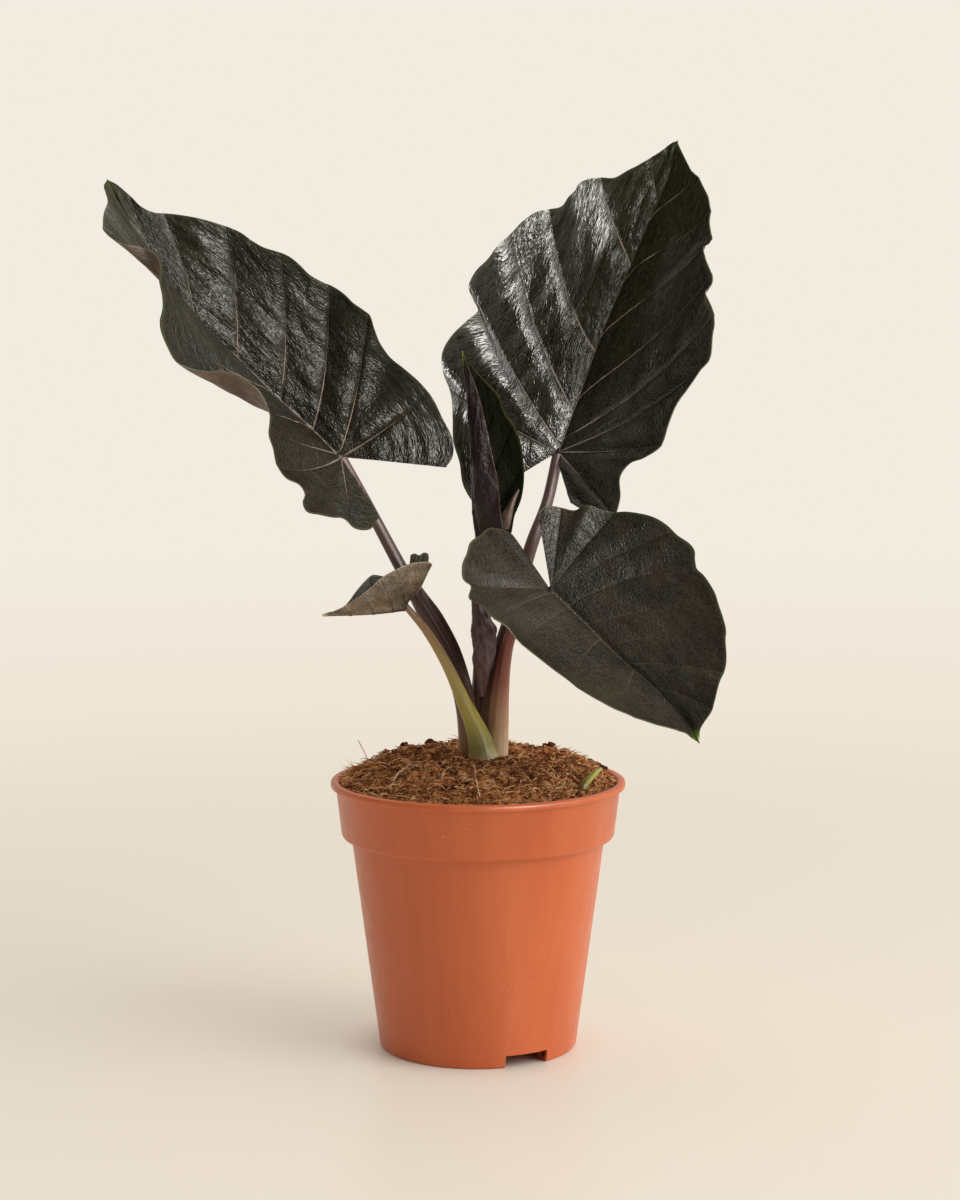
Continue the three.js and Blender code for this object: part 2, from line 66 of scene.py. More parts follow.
PAPER = (242, 235, 224)
FLOOR_PAPER = (239, 229, 214)
LIT_PAPER = (234, 228, 218)
ROOM = (226, 219, 207)
FLOOR_RADIUS = 9
UNDER_POT = (0.034, 0.06)  # distances in m from the middle of the pot, between which the paper changes
GLOW_GROWS = (0.3, 1.0)
COLOUR_TURNS = (0.6, 2.4)
# the glow's share next to the pot: painted light that lightens the pot's shadow
PAINTED_GLOW_BY_POT = 0.3
ROOM_BRIGHTNESS = 0.82
ROOM_SIDES = (  # a direction, the least and the most that one faces it, and what it adds to the brightness
    ((-0.6, -0.8, 0.05), -0.15, 0.6, -0.72),
    ((0, 0, 1), 0.2, 0.9, 0.6),
    ((0.98, -0.15, 0.1), 0.6, 0.95, 1.4),
)
BOXES_AIM = Vector((0, 0, 0.2))


def paint(red, green, blue):
    """A colour given as it looks on screen, 0 to 255, as linear light."""
    linear = [(c / 255 / 12.92) if c / 255 <= 0.04045 else ((c / 255 + 0.055) / 1.055) ** 2.4
              for c in (red, green, blue)]
    return (*linear, 1)


def feed(tree, socket, value):
    if isinstance(value, bpy.types.NodeSocket):
        tree.links.new(value, socket)
    else:
        socket.default_value = value


def add_node(tree, kind, inputs=(), **settings):
    """A shader node with its settings, and its inputs by name or number, as values or as other nodes' outputs."""
    node = tree.nodes.new("ShaderNode" + kind)
    for name, value in settings.items():
        setattr(node, name, value)
    for name, value in dict(inputs).items():
        feed(tree, node.inputs[name], value)
    return node


def calc(tree, operation, first, second=0.0, third=0.0):
    node = add_node(tree, "Math", operation=operation)
    for socket, value in zip(node.inputs, (first, second, third)):
        feed(tree, socket, value)
    return node.outputs[0]


def times(tree, first, second):
    return calc(tree, "MULTIPLY", first, second)


def mixed(tree, share, first, second):
    """Two colours mixed. Each is a node's output, or (red, green, blue) as for paint."""
    node = add_node(tree, "Mix", data_type="RGBA")
    for number, value in ((0, share), (6, first), (7, second)):
        feed(tree, node.inputs[number], paint(*value) if isinstance(value, tuple) else value)
    return node.outputs[2]


def fade(tree, value, start, end, low=0.0, high=1.0):
    """Goes from low to high as value goes from start to end."""
    node = add_node(tree, "MapRange", interpolation_type="SMOOTHSTEP")
    for number, given in enumerate((value, start, end, low, high)):
        feed(tree, node.inputs[number], given)
    return node.outputs[0]


def object_place(tree):
    return add_node(tree, "TexCoord").outputs["Object"]


def new_material(name, **constants):
    """A material and its node tree, with the shader's values that are the same all over."""
    material = bpy.data.materials.new(name)
    material.use_nodes = True
    for socket, value in constants.items():
        material.node_tree.nodes["Principled BSDF"].inputs[socket.replace("_", " ")].default_value = value
    return material, material.node_tree


def paper_sweep():
    """Paper lit and shaded by the pot, its shadow lightened by a weak painted glow, and glowing evenly further out."""
    material, tree = new_material(
        "paper_sweep", Base_Color=paint(*LIT_PAPER), Roughness=0.35, Specular_IOR_Level=0.25)
    away = add_node(tree, "VectorMath", {0: object_place(tree)}, operation="LENGTH").outputs["Value"]
    glow = add_node(tree, "Emission", {
        "Color": mixed(tree, fade(tree, away, *COLOUR_TURNS), FLOOR_PAPER, PAPER)})
    share = times(tree, fade(tree, away, *UNDER_POT), fade(tree, away, *GLOW_GROWS, PAINTED_GLOW_BY_POT, 1.0))
    both = add_node(tree, "MixShader", {
        0: share, 1: tree.nodes["Principled BSDF"].outputs[0], 2: glow.outputs[0]})
    feed(tree, tree.nodes["Material Output"].inputs["Surface"], both.outputs[0])
    return material


def pale_room():
    """Paper wherever the camera looks past the floor, and round it a room that lights and mirrors."""
    room = bpy.data.worlds.new("studio")
    room.use_nodes = True
    tree = room.node_tree
    seen = add_node(tree, "LightPath").outputs["Is Camera Ray"]
    towards = add_node(tree, "TexCoord").outputs["Generated"]
    brightness = ROOM_BRIGHTNESS
    for direction, least, most, gain in ROOM_SIDES:
        facing = add_node(tree, "VectorMath", {0: towards, 1: direction}, operation="DOT_PRODUCT")
        brightness = calc(tree, "MULTIPLY_ADD", fade(tree, facing.outputs["Value"], least, most), gain, brightness)
    walls = add_node(tree, "Background", {"Color": paint(*ROOM), "Strength": brightness})
    backdrop = add_node(tree, "Background", {"Color": paint(*PAPER), "Strength": 1.0})
    both = add_node(tree, "MixShader", {0: seen, 1: walls.outputs[0], 2: backdrop.outputs[0]})
    feed(tree, tree.nodes["World Output"].inputs["Surface"], both.outputs[0])
    return room


def soft_box(name, place, size, power, colour):
    """A square box of light that faces the plant. Its size is in m and its power in watts."""
    bpy.ops.object.light_add(type="AREA", location=place)
    box = bpy.context.object
    box.name = name
    box.data.size = size
    box.data.energy = power
    box.data.color = colour
    box.rotation_mode = "QUATERNION"
    box.rotation_quaternion = (BOXES_AIM - box.location).to_track_quat("-Z", "Y")
    return box


bpy.ops.object.select_all(action="DESELECT")
bpy.ops.mesh.primitive_circle_add(vertices=96, radius=FLOOR_RADIUS, fill_type="NGON")
floor = bpy.context.object
floor.name = "paper_floor"
floor.data.materials.append(paper_sweep())
bpy.context.scene.world = pale_room()
soft_box("key_box", (1.21, -0.67, 1.0), size=1.1, power=13, colour=(1, 0.99, 0.98))
gloss_box = soft_box("gloss_box", (0.785, -1.21, 0.66), size=0.6, power=30, colour=(1, 0.965, 0.91))
gloss_box.visible_diffuse = False

# ---- Nursery pot ----
# One injection-moulded shell of thin terracotta-coloured polypropylene: a rolled lip, an upright band that helps the
# pots stack, a tapered body, and a ring-shaped channel underneath that drains through two notches in the foot.

MM = 0.001
POT_SIDES = 160
PAD_RADIUS = 15
DRAIN_RISE = 5.2
NOTCH_WIDTH = 19.0
NOTCH_DEPTH = 12
NOTCH_RING = 38
NOTCH_TURN = math.radians(-60.8)
HOLES = 6
HOLE_RADIUS = 3
HOLE_DEPTH = 12
HOLE_RING = 24.5
POT_OUTSIDE = [  # radius and height in mm, from the flat pad under the pot to the inside of the lip
    (16.5, 5.2), (32.5, 5.2), (34, 0), (39.2, 0), (40, 0.35), (40.4, 1.2),
    (51.5, 85.4), (51.8, 86.2), (52.4, 86.6), (54.2, 86.7), (55.1, 87.1), (55.65, 88),
    (57.8, 106.6), (58.2, 107), (59.3, 107.1), (59.8, 107.4), (60, 107.9),
    (60, 108.9), (59.75, 109.5), (59.2, 109.9), (58.2, 110), (57.3, 109.8), (56.6, 109.2), (56.3, 108.4),
]
POT_INSIDE = [
    (54.2, 88.8), (53.4, 88.1), (50.2, 87.8), (49.8, 87.2), (39, 2.5), (38.4, 1.5),
    (36, 1.5), (34.5, 6.7), (14.5, 6.7), (13, 1.5),
]


def pick(piece):
    """Makes a piece the only one that is selected."""
    bpy.ops.object.select_all(action="DESELECT")
    piece.select_set(True)
    bpy.context.view_layer.objects.active = piece


def open_mesh(piece):
    """Starts work on a piece's mesh, with all of it selected."""
    pick(piece)
    bpy.ops.object.mode_set(mode="EDIT")
    bpy.ops.mesh.select_all(action="SELECT")


def select_open_edges():
    bpy.ops.mesh.select_all(action="DESELECT")
    bpy.ops.mesh.select_non_manifold()


def close_mesh():
    """Ends work on a mesh, with all its faces turned outwards."""
    bpy.ops.mesh.select_all(action="SELECT")
    bpy.ops.mesh.normals_make_consistent(inside=False)
    bpy.ops.object.mode_set(mode="OBJECT")


def apply_modifier(piece, kind, **settings):
    modifier = piece.modifiers.new(kind.lower(), kind)
    for name, value in settings.items():
        setattr(modifier, name, value)
    bpy.context.view_layer.objects.active = piece
    bpy.ops.object.modifier_apply(modifier=modifier.name)


def smooth_piece(piece, degrees):
    pick(piece)
    bpy.ops.object.shade_smooth_by_angle(angle=math.radians(degrees))


def hand_over(piece, node=None):
    """Hides the part of the CAD model that a finished piece stands for, and hangs the piece on the root body."""
    if node is not None:
        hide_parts(node)
    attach(piece, "root")


def finished(piece, material, node=None, crease=60):
    piece.data.materials.append(material)
    smooth_piece(piece, crease)
    hand_over(piece, node)


def turned_shell(start_radius, rings):
    """A disc whose edge is drawn out ring by ring: each ring is (radius, height) in mm."""
    bpy.ops.mesh.primitive_circle_add(vertices=POT_SIDES, radius=start_radius * MM, fill_type="NGON")
    shell = bpy.context.object
    open_mesh(shell)
    radius, height = start_radius, 0.0
    for next_radius, next_height in rings:
        bpy.ops.mesh.extrude_region_move(
            TRANSFORM_OT_translate={"value": (0, 0, (next_height - height) * MM)})
        grow = next_radius / radius
        bpy.ops.transform.resize(value=(grow, grow, 1), center_override=(0, 0, 0))
        radius, height = next_radius, next_height
    select_open_edges()
    bpy.ops.mesh.edge_face_add()
    close_mesh()
    return shell


def cut_away(piece, tool):
    """Takes the tool's shape out of a piece, and the tool out of the scene."""
    apply_modifier(piece, "BOOLEAN", object=tool, operation="DIFFERENCE", solver="EXACT")
    bpy.data.objects.remove(tool)


def on_ring(radius, turn, height=0.0):
    """A place in m, from a radius and a height in mm."""
    return radius * MM * math.cos(turn), radius * MM * math.sin(turn), height * MM


def noise_at(tree, place, scale, detail=4.0, roughness=0.5, distortion=0.0):
    return add_node(tree, "TexNoise", {
        "Vector": place, "Scale": scale, "Detail": detail, "Roughness": roughness, "Distortion": distortion,
    }).outputs["Fac"]


def stretched(tree, place, scale):
    """The place with each direction scaled, so that a pattern gets finer or longer along it."""
    return add_node(tree, "Mapping", {"Vector": place, "Scale": scale}).outputs[0]


def colours(tree, value, *stops):
    """A ramp through (position, colour) stops."""
    node = add_node(tree, "ValToRGB", {"Fac": value})
    ramp = node.color_ramp
    while len(ramp.elements) < len(stops):
        ramp.elements.new(1.0)
    for element, (position, colour) in zip(ramp.elements, stops):
        element.position = position
        element.color = paint(*colour)
    return node.outputs["Color"]


def relief(tree, height, depth, under=None):
    """Bumps of the given depth in mm, on top of another relief."""
    inputs = {"Height": height, "Distance": depth * MM}
    if under is not None:
        inputs["Normal"] = under
    return add_node(tree, "Bump", inputs).outputs[0]


def dress(tree, colour, roughness, bumps=None):
    """Gives the shader its colour, its roughness and its relief."""
    inputs = tree.nodes["Principled BSDF"].inputs
    feed(tree, inputs["Base Color"], colour)
    feed(tree, inputs["Roughness"], roughness)
    if bumps is not None:
        feed(tree, inputs["Normal"], bumps)


def terracotta_plastic():
    """Moulded plastic with flow marks, a little dust, a few rubbed spots and fine upright streaks."""
    material, tree = new_material("terracotta_plastic", IOR=1.49)
    place = object_place(tree)
    flow = noise_at(tree, stretched(tree, place, (60, 60, 12)), 1.0, 5, 0.6)
    base = colours(tree, flow, (0.3, (199, 94, 45)), (0.7, (211, 109, 58)))
    base = mixed(tree, times(tree, noise_at(tree, place, 28, 3), 0.35), base, (186, 84, 46))
    specks = add_node(tree, "TexVoronoi", {"Vector": place, "Scale": 160.0}).outputs["Distance"]
    dust = times(tree, fade(tree, specks, 0.07, 0.03), fade(tree, noise_at(tree, place, 41, 2), 0.58, 0.66))
    base = mixed(tree, times(tree, dust, 0.6), base, (240, 200, 172))
    rubs = noise_at(tree, stretched(tree, place, (420, 420, 110)), 1.0, 3, 0.6)
    rubbed = times(tree, fade(tree, rubs, 0.66, 0.7), fade(tree, noise_at(tree, place, 30, 1), 0.62, 0.68))
    base = mixed(tree, times(tree, rubbed, 0.5), base, (232, 168, 132))
    grain = noise_at(tree, place, 900, 3)
    streaks = noise_at(tree, stretched(tree, place, (160, 160, 9)), 1.0, 3)
    dress(tree, base, fade(tree, noise_at(tree, place, 90, 6, 0.7), 0.3, 0.7, 0.3, 0.42),
          relief(tree, streaks, 0.12, relief(tree, grain, 0.02)))
    return material


pot = turned_shell(PAD_RADIUS, POT_OUTSIDE + POT_INSIDE)
pot.name = "nursery_pot"
for turn in (NOTCH_TURN, NOTCH_TURN + math.pi):
    bpy.ops.mesh.primitive_cube_add(size=MM, scale=(NOTCH_DEPTH, NOTCH_WIDTH, 2 * DRAIN_RISE),
                                    rotation=(0, 0, turn), location=on_ring(NOTCH_RING, turn))
    cut_away(pot, bpy.context.object)
for number in range(HOLES):
    bpy.ops.mesh.primitive_cylinder_add(
        vertices=24, radius=HOLE_RADIUS * MM, depth=HOLE_DEPTH * MM,
        location=on_ring(HOLE_RING, number * 2 * math.pi / HOLES, DRAIN_RISE))
    cut_away(pot, bpy.context.object)
finished(pot, terracotta_plastic(), "pot", 50)

# ---- Potting mix ----
# Moist coir and peat, heaped a little in the middle and flush with the lip at the edge. The body of it fills the pot;
# loose crumbs, short curled coir and a few long pale hairs lie on top.

MIX_EDGE_HEIGHT = 109.2
MIX_DOME_HEIGHT = 119.0
MIX_EDGE = 56.3
MIX_SHOULDER = 38.0
MIX_ANGLES = 420
MIX_WALL = [  # radius and height in mm, from the middle of the underside up the inside of the pot
    (0, 1.8), (12.8, 1.8), (14.3, 7), (39.2, 7), (49.7, 87.9), (53.9, 89.1), (55.6, 104.0),
]
STREWN_RADIUS = 55.0
STALKS_AT = (3, 2)
STALKS_RADIUS = 9.5
CRUMBS = 900
CRUMB_MODELS = 5
LARGEST_CRUMB = 2.1
DARK_LUMPS = [  # x, y and size in mm
    (-20.4, 43, 2.6), (-18, 43.5, 2.0), (-22.3, 42.3, 1.7), (-9.8, 44.5, 2.0), (-12, 44, 1.5), (-31, 36, 2.2),
    (-28.3, 37, 1.9), (-35, 33, 1.5), (30.9, 36.5, 2.2), (33.8, 34, 1.7), (28.3, 37.5, 1.5), (51.5, 21, 1.4),
    (52.5, 17, 1.3), (50, 25, 1.6), (47, 31, 1.8),
]
FIBRES = 3400
FIBRE_MODELS = 12
EDGE_FIBRES = 70
EDGE_FIBRES_RING = 52.5
PALE_HAIRS = [  # x, y and the height above the heap
    [(-3.2, -15.4, 0.5), (-1.6, -27, 0.8), (-0.4, -45.4, 0.8), (0.8, -51.6, 0.3)],
    [(30.7, -38.3, 0.4), (33.1, -35.2, 1.3), (38, -20.3, 0.5)],
    [(26.9, -14.7, 0.4), (29.5, -24.1, 1.3), (32.3, -34, 0.5)],
    [(-45.6, 35.9, -0.5), (-47.5, 34, 5), (-50.4, 33, 11)],
    [(-31.1, -25.8, 0.3), (-28, -21.8, 1.4), (-22.7, -20.4, 0.3)],
    [(-34.7, -35.4, 0.3), (-31, -31.4, 1.4), (-30.2, -25.4, 0.3)],
    [(11, -14, 0.3), (16.5, -8.5, 1.6), (22, -6, 0.4)],
]
HAIR_RADIUS = 0.2


def eased(value, start, end):
    share = np.clip((value - start) / (end - start), 0, 1)
    return share * share * (3 - 2 * share)


def heap_height(x, y):
    """The broad shape of the heap, in mm."""
    radius = math.hypot(x, y)
    if radius >= MIX_EDGE:
        return MIX_EDGE_HEIGHT
    rise = eased(MIX_EDGE - radius, 0, MIX_EDGE - MIX_SHOULDER)
    crown = 1 - (radius / MIX_EDGE) ** 2
    bumps = (0.55 * math.sin(0.31 * x + 1.3) * math.cos(0.27 * y) + 0.5 * math.sin(0.53 * y - 0.41 * x)
             + 0.4 * math.cos(0.83 * x + 0.37 * y))
    settled = eased(MIX_EDGE - radius, 0, 6)
    return (MIX_EDGE_HEIGHT + (MIX_DOME_HEIGHT - MIX_EDGE_HEIGHT) * (0.7 * rise + 0.3 * crown)
            + bumps * settled)


def mix_height(x, y):
    """The heap with its lumps and clods."""
    settled = eased(MIX_EDGE + 1 - math.hypot(x, y), 0, 5)
    clods = noise.fractal(Vector((x * 0.16, y * 0.16, 3.1)), 1.0, 2.0, 3)
    crumbs = noise.fractal(Vector((x * 0.55, y * 0.55, 9.7)), 0.8, 2.0, 4)
    return heap_height(x, y) + settled * (1.3 * clods + 1.15 * crumbs)


def points_of(piece):
    flat = np.zeros(len(piece.data.vertices) * 3)
    piece.data.vertices.foreach_get("co", flat)
    return flat.reshape(-1, 3)


def grid_piece(name, across, along):
    """A flat grid to be shaped: the object, and each vertex's place on it, 0 to 1 both ways."""
    bpy.ops.mesh.primitive_grid_add(x_subdivisions=across, y_subdivisions=along, size=2, calc_uvs=True)
    piece = bpy.context.object
    piece.name = name
    return piece, (points_of(piece)[:, :2] + 1) / 2


def set_points(piece, points_mm):
    piece.data.vertices.foreach_set("co", (np.asarray(points_mm) * MM).ravel())
    piece.data.update()


def weld(piece, close_ends=False):
    """Joins the seam and the poles, closes open ends, and turns all faces outwards."""
    open_mesh(piece)
    bpy.ops.mesh.remove_doubles(threshold=0.004 * MM)
    if close_ends:
        select_open_edges()
        bpy.ops.mesh.fill_holes(sides=0)
    close_mesh()


def mix_body():
    """Rings up the wall of the pot and, closer together, from the lip to the middle of the heap."""
    top_radii = np.concatenate([np.linspace(56.0, 44, 22), np.linspace(43.4, 0, 66)])
    rings = [(radius, height, 0) for radius, height in MIX_WALL] + [(radius, 0, 1) for radius in top_radii]
    piece, share = grid_piece("potting_mix_heap", MIX_ANGLES, len(rings) - 1)
    ring_of = np.rint(share[:, 1] * (len(rings) - 1)).astype(int)
    turn = share[:, 0] * 2 * math.pi
    points = np.zeros((len(share), 3))
    for number, (ring, angle) in enumerate(zip(ring_of, turn)):
        radius, height, on_top = rings[ring]
        x, y = radius * math.cos(angle), radius * math.sin(angle)
        points[number] = (x, y, mix_height(x, y) if on_top else height)
    set_points(piece, points)
    weld(piece)
    return piece


def brown_mix():
    """Brown clods with pale fibres and black grit in them."""
    material, tree = new_material("brown_potting_mix", IOR=1.35, Specular_IOR_Level=0.15)
    place = object_place(tree)
    clods = noise_at(tree, place, 170, 6, 0.65)
    grit = noise_at(tree, place, 900, 5, 0.7, 0.6)
    wander = add_node(tree, "TexNoise", {"Vector": place, "Scale": 260.0}).outputs["Color"]
    tangled = add_node(tree, "VectorMath", {0: place, 1: wander, 2: (0.004, 0.004, 0.004)},
                       operation="MULTIPLY_ADD").outputs[0]
    strands = add_node(tree, "TexVoronoi", {"Vector": tangled, "Scale": 700.0},
                       feature="DISTANCE_TO_EDGE").outputs["Distance"]
    base = colours(tree, clods, (0.36, (90, 42, 14)), (0.52, (208, 132, 78)), (0.66, (252, 200, 144)))
    base = mixed(tree, fade(tree, grit, 0.52, 0.66), base, (244, 192, 136))
    base = mixed(tree, fade(tree, grit, 0.47, 0.36), base, (46, 26, 16))
    dress(tree, base, fade(tree, grit, 0.3, 0.7, 0.95, 0.7), relief(tree, grit, 1.2, relief(tree, strands, 0.6)))
    return material


finished(mix_body(), brown_mix(), "potting_mix")


def spline(stops, shares):
    """Points on the smooth curve through the stops, at shares 0 to 1 of the way, counted in stops."""
    stops = np.array(stops, float)
    ends = np.array([2 * stops[0] - stops[1], *stops, 2 * stops[-1] - stops[-2]])
    place = np.clip(np.asarray(shares, float), 0, 1) * (len(stops) - 1)
    first = np.minimum(place.astype(int), len(stops) - 2)
    step = (place - first)[:, None]
    before, start, end, after = (ends[first + number] for number in range(4))

    def knot(a, b):
        return np.maximum(np.sum((b - a) ** 2, axis=1), 1e-12)[:, None] ** 0.25

    gap_in, gap, gap_out = knot(before, start), knot(start, end), knot(end, after)
    leave = ((start - before) / gap_in - (end - before) / (gap_in + gap) + (end - start) / gap) * gap
    arrive = ((end - start) / gap - (after - start) / (gap + gap_out) + (after - end) / gap_out) * gap
    return (start + leave * step + (3 * (end - start) - 2 * leave - arrive) * step ** 2
            + (2 * (start - end) + leave + arrive) * step ** 3)


def unit(vectors):
    """The same directions, each one long."""
    return vectors / np.maximum(np.linalg.norm(vectors, axis=-1, keepdims=True), 1e-12)


def tube(name, stops, sides, rings, section=None):
    """A closed tube through (x, y, z, radius) stops in mm. section(turn, share) scales its radius at an angle
    from the front, at a share of the way up."""
    piece, share = grid_piece(name, sides, rings)
    turn = (2 * share[:, 0] - 1) * math.pi
    along = share[:, 1]
    route = [stop[:3] for stop in stops]
    centre = spline(route, along)
    heading = unit(spline(route, along + 0.002) - spline(route, along - 0.002))
    side = unit(np.cross((0, 1, 0), heading))
    depth = np.cross(heading, side)
    radius = spline([(stop[3], 0, 0) for stop in stops], along)[:, :1]
    if section is not None:
        radius = radius * section(turn, along)[:, None]
    set_points(piece, centre + radius * (side * np.sin(turn)[:, None] - depth * np.cos(turn)[:, None]))
    weld(piece, close_ends=True)
    return piece


def taken_as_model(piece):
    """A piece's points in mm and its faces, to be strewn. The piece itself is not kept."""
    points = points_of(piece) / MM
    faces = [list(polygon.vertices) for polygon in piece.data.polygons]
    bpy.data.objects.remove(piece)
    return points, faces


def mark_points(mesh, name, values):
    mesh.attributes.new(name, "FLOAT", "POINT").data.foreach_set("value", np.array(values, np.float32))


def point_mark(tree, name):
    return add_node(tree, "Attribute", attribute_name=name).outputs["Fac"]


def strewn(name, models, places):
    """One mesh of many copies. Each place is a model's number, a matrix in mm and a shade from 0 to 1."""
    points, faces, shades, count = [], [], [], 0
    for model, matrix, shade in places:
        vertices, polygons = models[model]
        turned = np.array(matrix)
        points.append(vertices @ turned[:3, :3].T + turned[:3, 3])
        faces += [[index + count for index in polygon] for polygon in polygons]
        shades += [shade] * len(vertices)
        count += len(vertices)
    mesh = bpy.data.meshes.new(name)
    mesh.from_pydata((np.concatenate(points) * MM).tolist(), [], faces)
    mark_points(mesh, "shade", shades)
    piece = bpy.data.objects.new(name, mesh)
    bpy.context.scene.collection.objects.link(piece)
    return piece


def on_heap(draw):
    """A random place on the heap, outside the stalks."""
    while True:
        radius, turn = STREWN_RADIUS * math.sqrt(draw.random()), draw.uniform(0, 2 * math.pi)
        x, y = radius * math.cos(turn), radius * math.sin(turn)
        if math.hypot(x - STALKS_AT[0], y - STALKS_AT[1]) > STALKS_RADIUS:
            return x, y


def laid(draw, x, y, lift, size, tilt):
    """Puts a model at a place on the heap, turned at random and tilted a little."""
    return (Matrix.Translation((x, y, mix_height(x, y) + lift))
            @ Matrix.Rotation(draw.uniform(0, 2 * math.pi), 4, "Z")
            @ Matrix.Rotation(draw.gauss(0, tilt), 4, "Y")
            @ Matrix.Rotation(draw.gauss(0, tilt), 4, "X")
            @ Matrix.Diagonal((*size, 1)))


def crumb_model(draw):
    """A lumpy ball of 1 mm radius."""
    bpy.ops.mesh.primitive_ico_sphere_add(subdivisions=2, radius=MM)
    piece = bpy.context.object
    offset = Vector((draw.random(), draw.random(), draw.random())) * 40
    for vertex in piece.data.vertices:
        vertex.co *= 1 + 0.55 * noise.noise(vertex.co / MM * 1.3 + offset)
    return taken_as_model(piece)


def coir_model(draw):
    """A curled thread, 6 mm long and thinner at its ends."""
    bend, lift = draw.uniform(-1.6, 1.6), draw.uniform(0.2, 0.9)
    stops = []
    for share in (number / 5 for number in range(6)):
        stops.append((6 * (share - 0.5), bend * math.sin(2.6 * share + draw.uniform(-0.4, 0.4)),
                      lift * math.sin(math.pi * share) + draw.uniform(-0.15, 0.15),
                      0.22 * (1 - 0.7 * abs(2 * share - 1))))
    return taken_as_model(tube("coir_model", stops, sides=4, rings=6))


def loose_stuff(name, roughness, *stops_of_shade):
    """Bits whose colour goes with each bit's own shade."""
    material, tree = new_material(name, IOR=1.35, Specular_IOR_Level=0.2)
    place = object_place(tree)
    mottle = noise_at(tree, place, 500, 3)
    shade = calc(tree, "ADD", point_mark(tree, "shade"), calc(tree, "MULTIPLY_ADD", mottle, 0.3, -0.15))
    dress(tree, colours(tree, shade, *stops_of_shade),
          fade(tree, mottle, 0.3, 0.7, roughness - 0.1, roughness + 0.1),
          relief(tree, noise_at(tree, place, 1800, 3), 0.25))
    return material


draw = random.Random(11)
places = []
for _ in range(CRUMBS):
    x, y = on_heap(draw)
    size = min(LARGEST_CRUMB, draw.lognormvariate(-0.6, 0.55))
    places.append((draw.randrange(CRUMB_MODELS),
                   laid(draw, x, y, 0.1 * size, (size, size * 0.85, size * 0.7), 1.0), draw.betavariate(1.1, 1.6)))
for x, y, size in DARK_LUMPS:
    places.append((draw.randrange(CRUMB_MODELS),
                   laid(draw, x, y, 1.2 * size, (0.85 * size, 0.8 * size, 0.85 * size), 1.0), 0.1))
finished(
    strewn("soil_crumbs", [crumb_model(draw) for _ in range(CRUMB_MODELS)], places),
    loose_stuff("soil_crumbs", 0.85, (0.0, (46, 26, 16)), (0.4, (146, 88, 52)), (1.0, (232, 172, 114))))

places = []
for _ in range(FIBRES):
    x, y = on_heap(draw)
    length = draw.uniform(0.35, 1.25)
    places.append((draw.randrange(FIBRE_MODELS), laid(draw, x, y, draw.uniform(-0.2, 0.6), (length, 1, 1), 0.25),
                   draw.betavariate(0.9, 1.3)))
for _ in range(EDGE_FIBRES):
    turn = draw.gauss(math.radians(150), math.radians(35))
    x, y = EDGE_FIBRES_RING * math.cos(turn), EDGE_FIBRES_RING * math.sin(turn)
    places.append((draw.randrange(FIBRE_MODELS), laid(draw, x, y, draw.uniform(0.3, 1.6), (1.7, 0.6, 0.6), 0.4),
                   draw.uniform(0.5, 1)))
finished(
    strewn("coir_fibres", [coir_model(draw) for _ in range(FIBRE_MODELS)], places),
    loose_stuff("coir_fibres", 0.7, (0.0, (58, 30, 16)), (0.3, (176, 108, 62)), (0.7, (238, 180, 118)),
                (1.0, (250, 220, 172))))

hair_models = []
for stops in PALE_HAIRS:
    route = spline(stops, np.linspace(0, 1, 12))
    hair_models.append(taken_as_model(tube(
        "hair", [(x, y, mix_height(x, y) + lift, HAIR_RADIUS) for x, y, lift in route], sides=5, rings=36)))
finished(
    strewn("root_hairs", hair_models, [(number, Matrix.Identity(4), 0.8) for number in range(len(PALE_HAIRS))]),
    loose_stuff("root_hairs", 0.6, (0.3, (206, 160, 116)), (1.0, (240, 214, 178))))

# ---- Corm ----
# The buried stem base that every stalk grows from, with a rough brown skin in faint rings. The mix hides it, so it is
# shown as it comes from the CAD model, in its own material.

material, tree = new_material("corm_skin", IOR=1.4)
rings = noise_at(tree, stretched(tree, object_place(tree), (40, 40, 400)), 1.0, 4)
dress(tree, colours(tree, rings, (0.3, (84, 58, 38)), (0.7, (142, 108, 76))),
      fade(tree, rings, 0.3, 0.7, 0.9, 0.7), relief(tree, rings, 0.6))
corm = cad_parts["corm"]
corm.data.materials.clear()
corm.data.materials.append(material)

# ---- Leaf blades ----
# Each blade is a thin living sheet: near-black and glossy above, mauve-brown below, puckered between its side veins,
# with a fine net of veins all over and a waved edge. It grows from the top of its stalk.

RAY_SWEEP = 1.35
RAY_BOW = 0.06
FREE_RAYS = 14
CALMING = 300
BLADE_THICKNESS = 0.42
RIB_THICKNESS = 2.0
FULL_QUILT_GAP = 12
SWELLING = 0.9
FINE_WRINKLES = 0.45
VEIN_GROOVE = 0.7
RIB_GROOVE = 1.6
CALM_BY_RIB = 6
NET_GAP = 1.15
VEIN_WIDTHS = (0.52, 0.2)  # half widths in mm, by the midrib and near the margin
GRAIN_PER_VEIN = 14
BETWEEN_HALVES = 300  # sets the two halves' nets apart


def swell(share, peak):
    """0 at both ends and 1 at the peak."""
    power = peak / (1 - peak)
    return share ** power * (1 - share) / (peak ** power * (1 - peak))


def blade_directions(leaf):
    """Where a blade starts, its own directions, and its length."""
    start = np.array(leaf["junction"], float)
    along = np.array(leaf["tip"], float) - start
    length = np.linalg.norm(along)
    along = along / length
    up = np.array(leaf["facing"], float)
    up = unit(up - along * (along @ up))
    return start, np.array([along, np.cross(along, up), up]), length


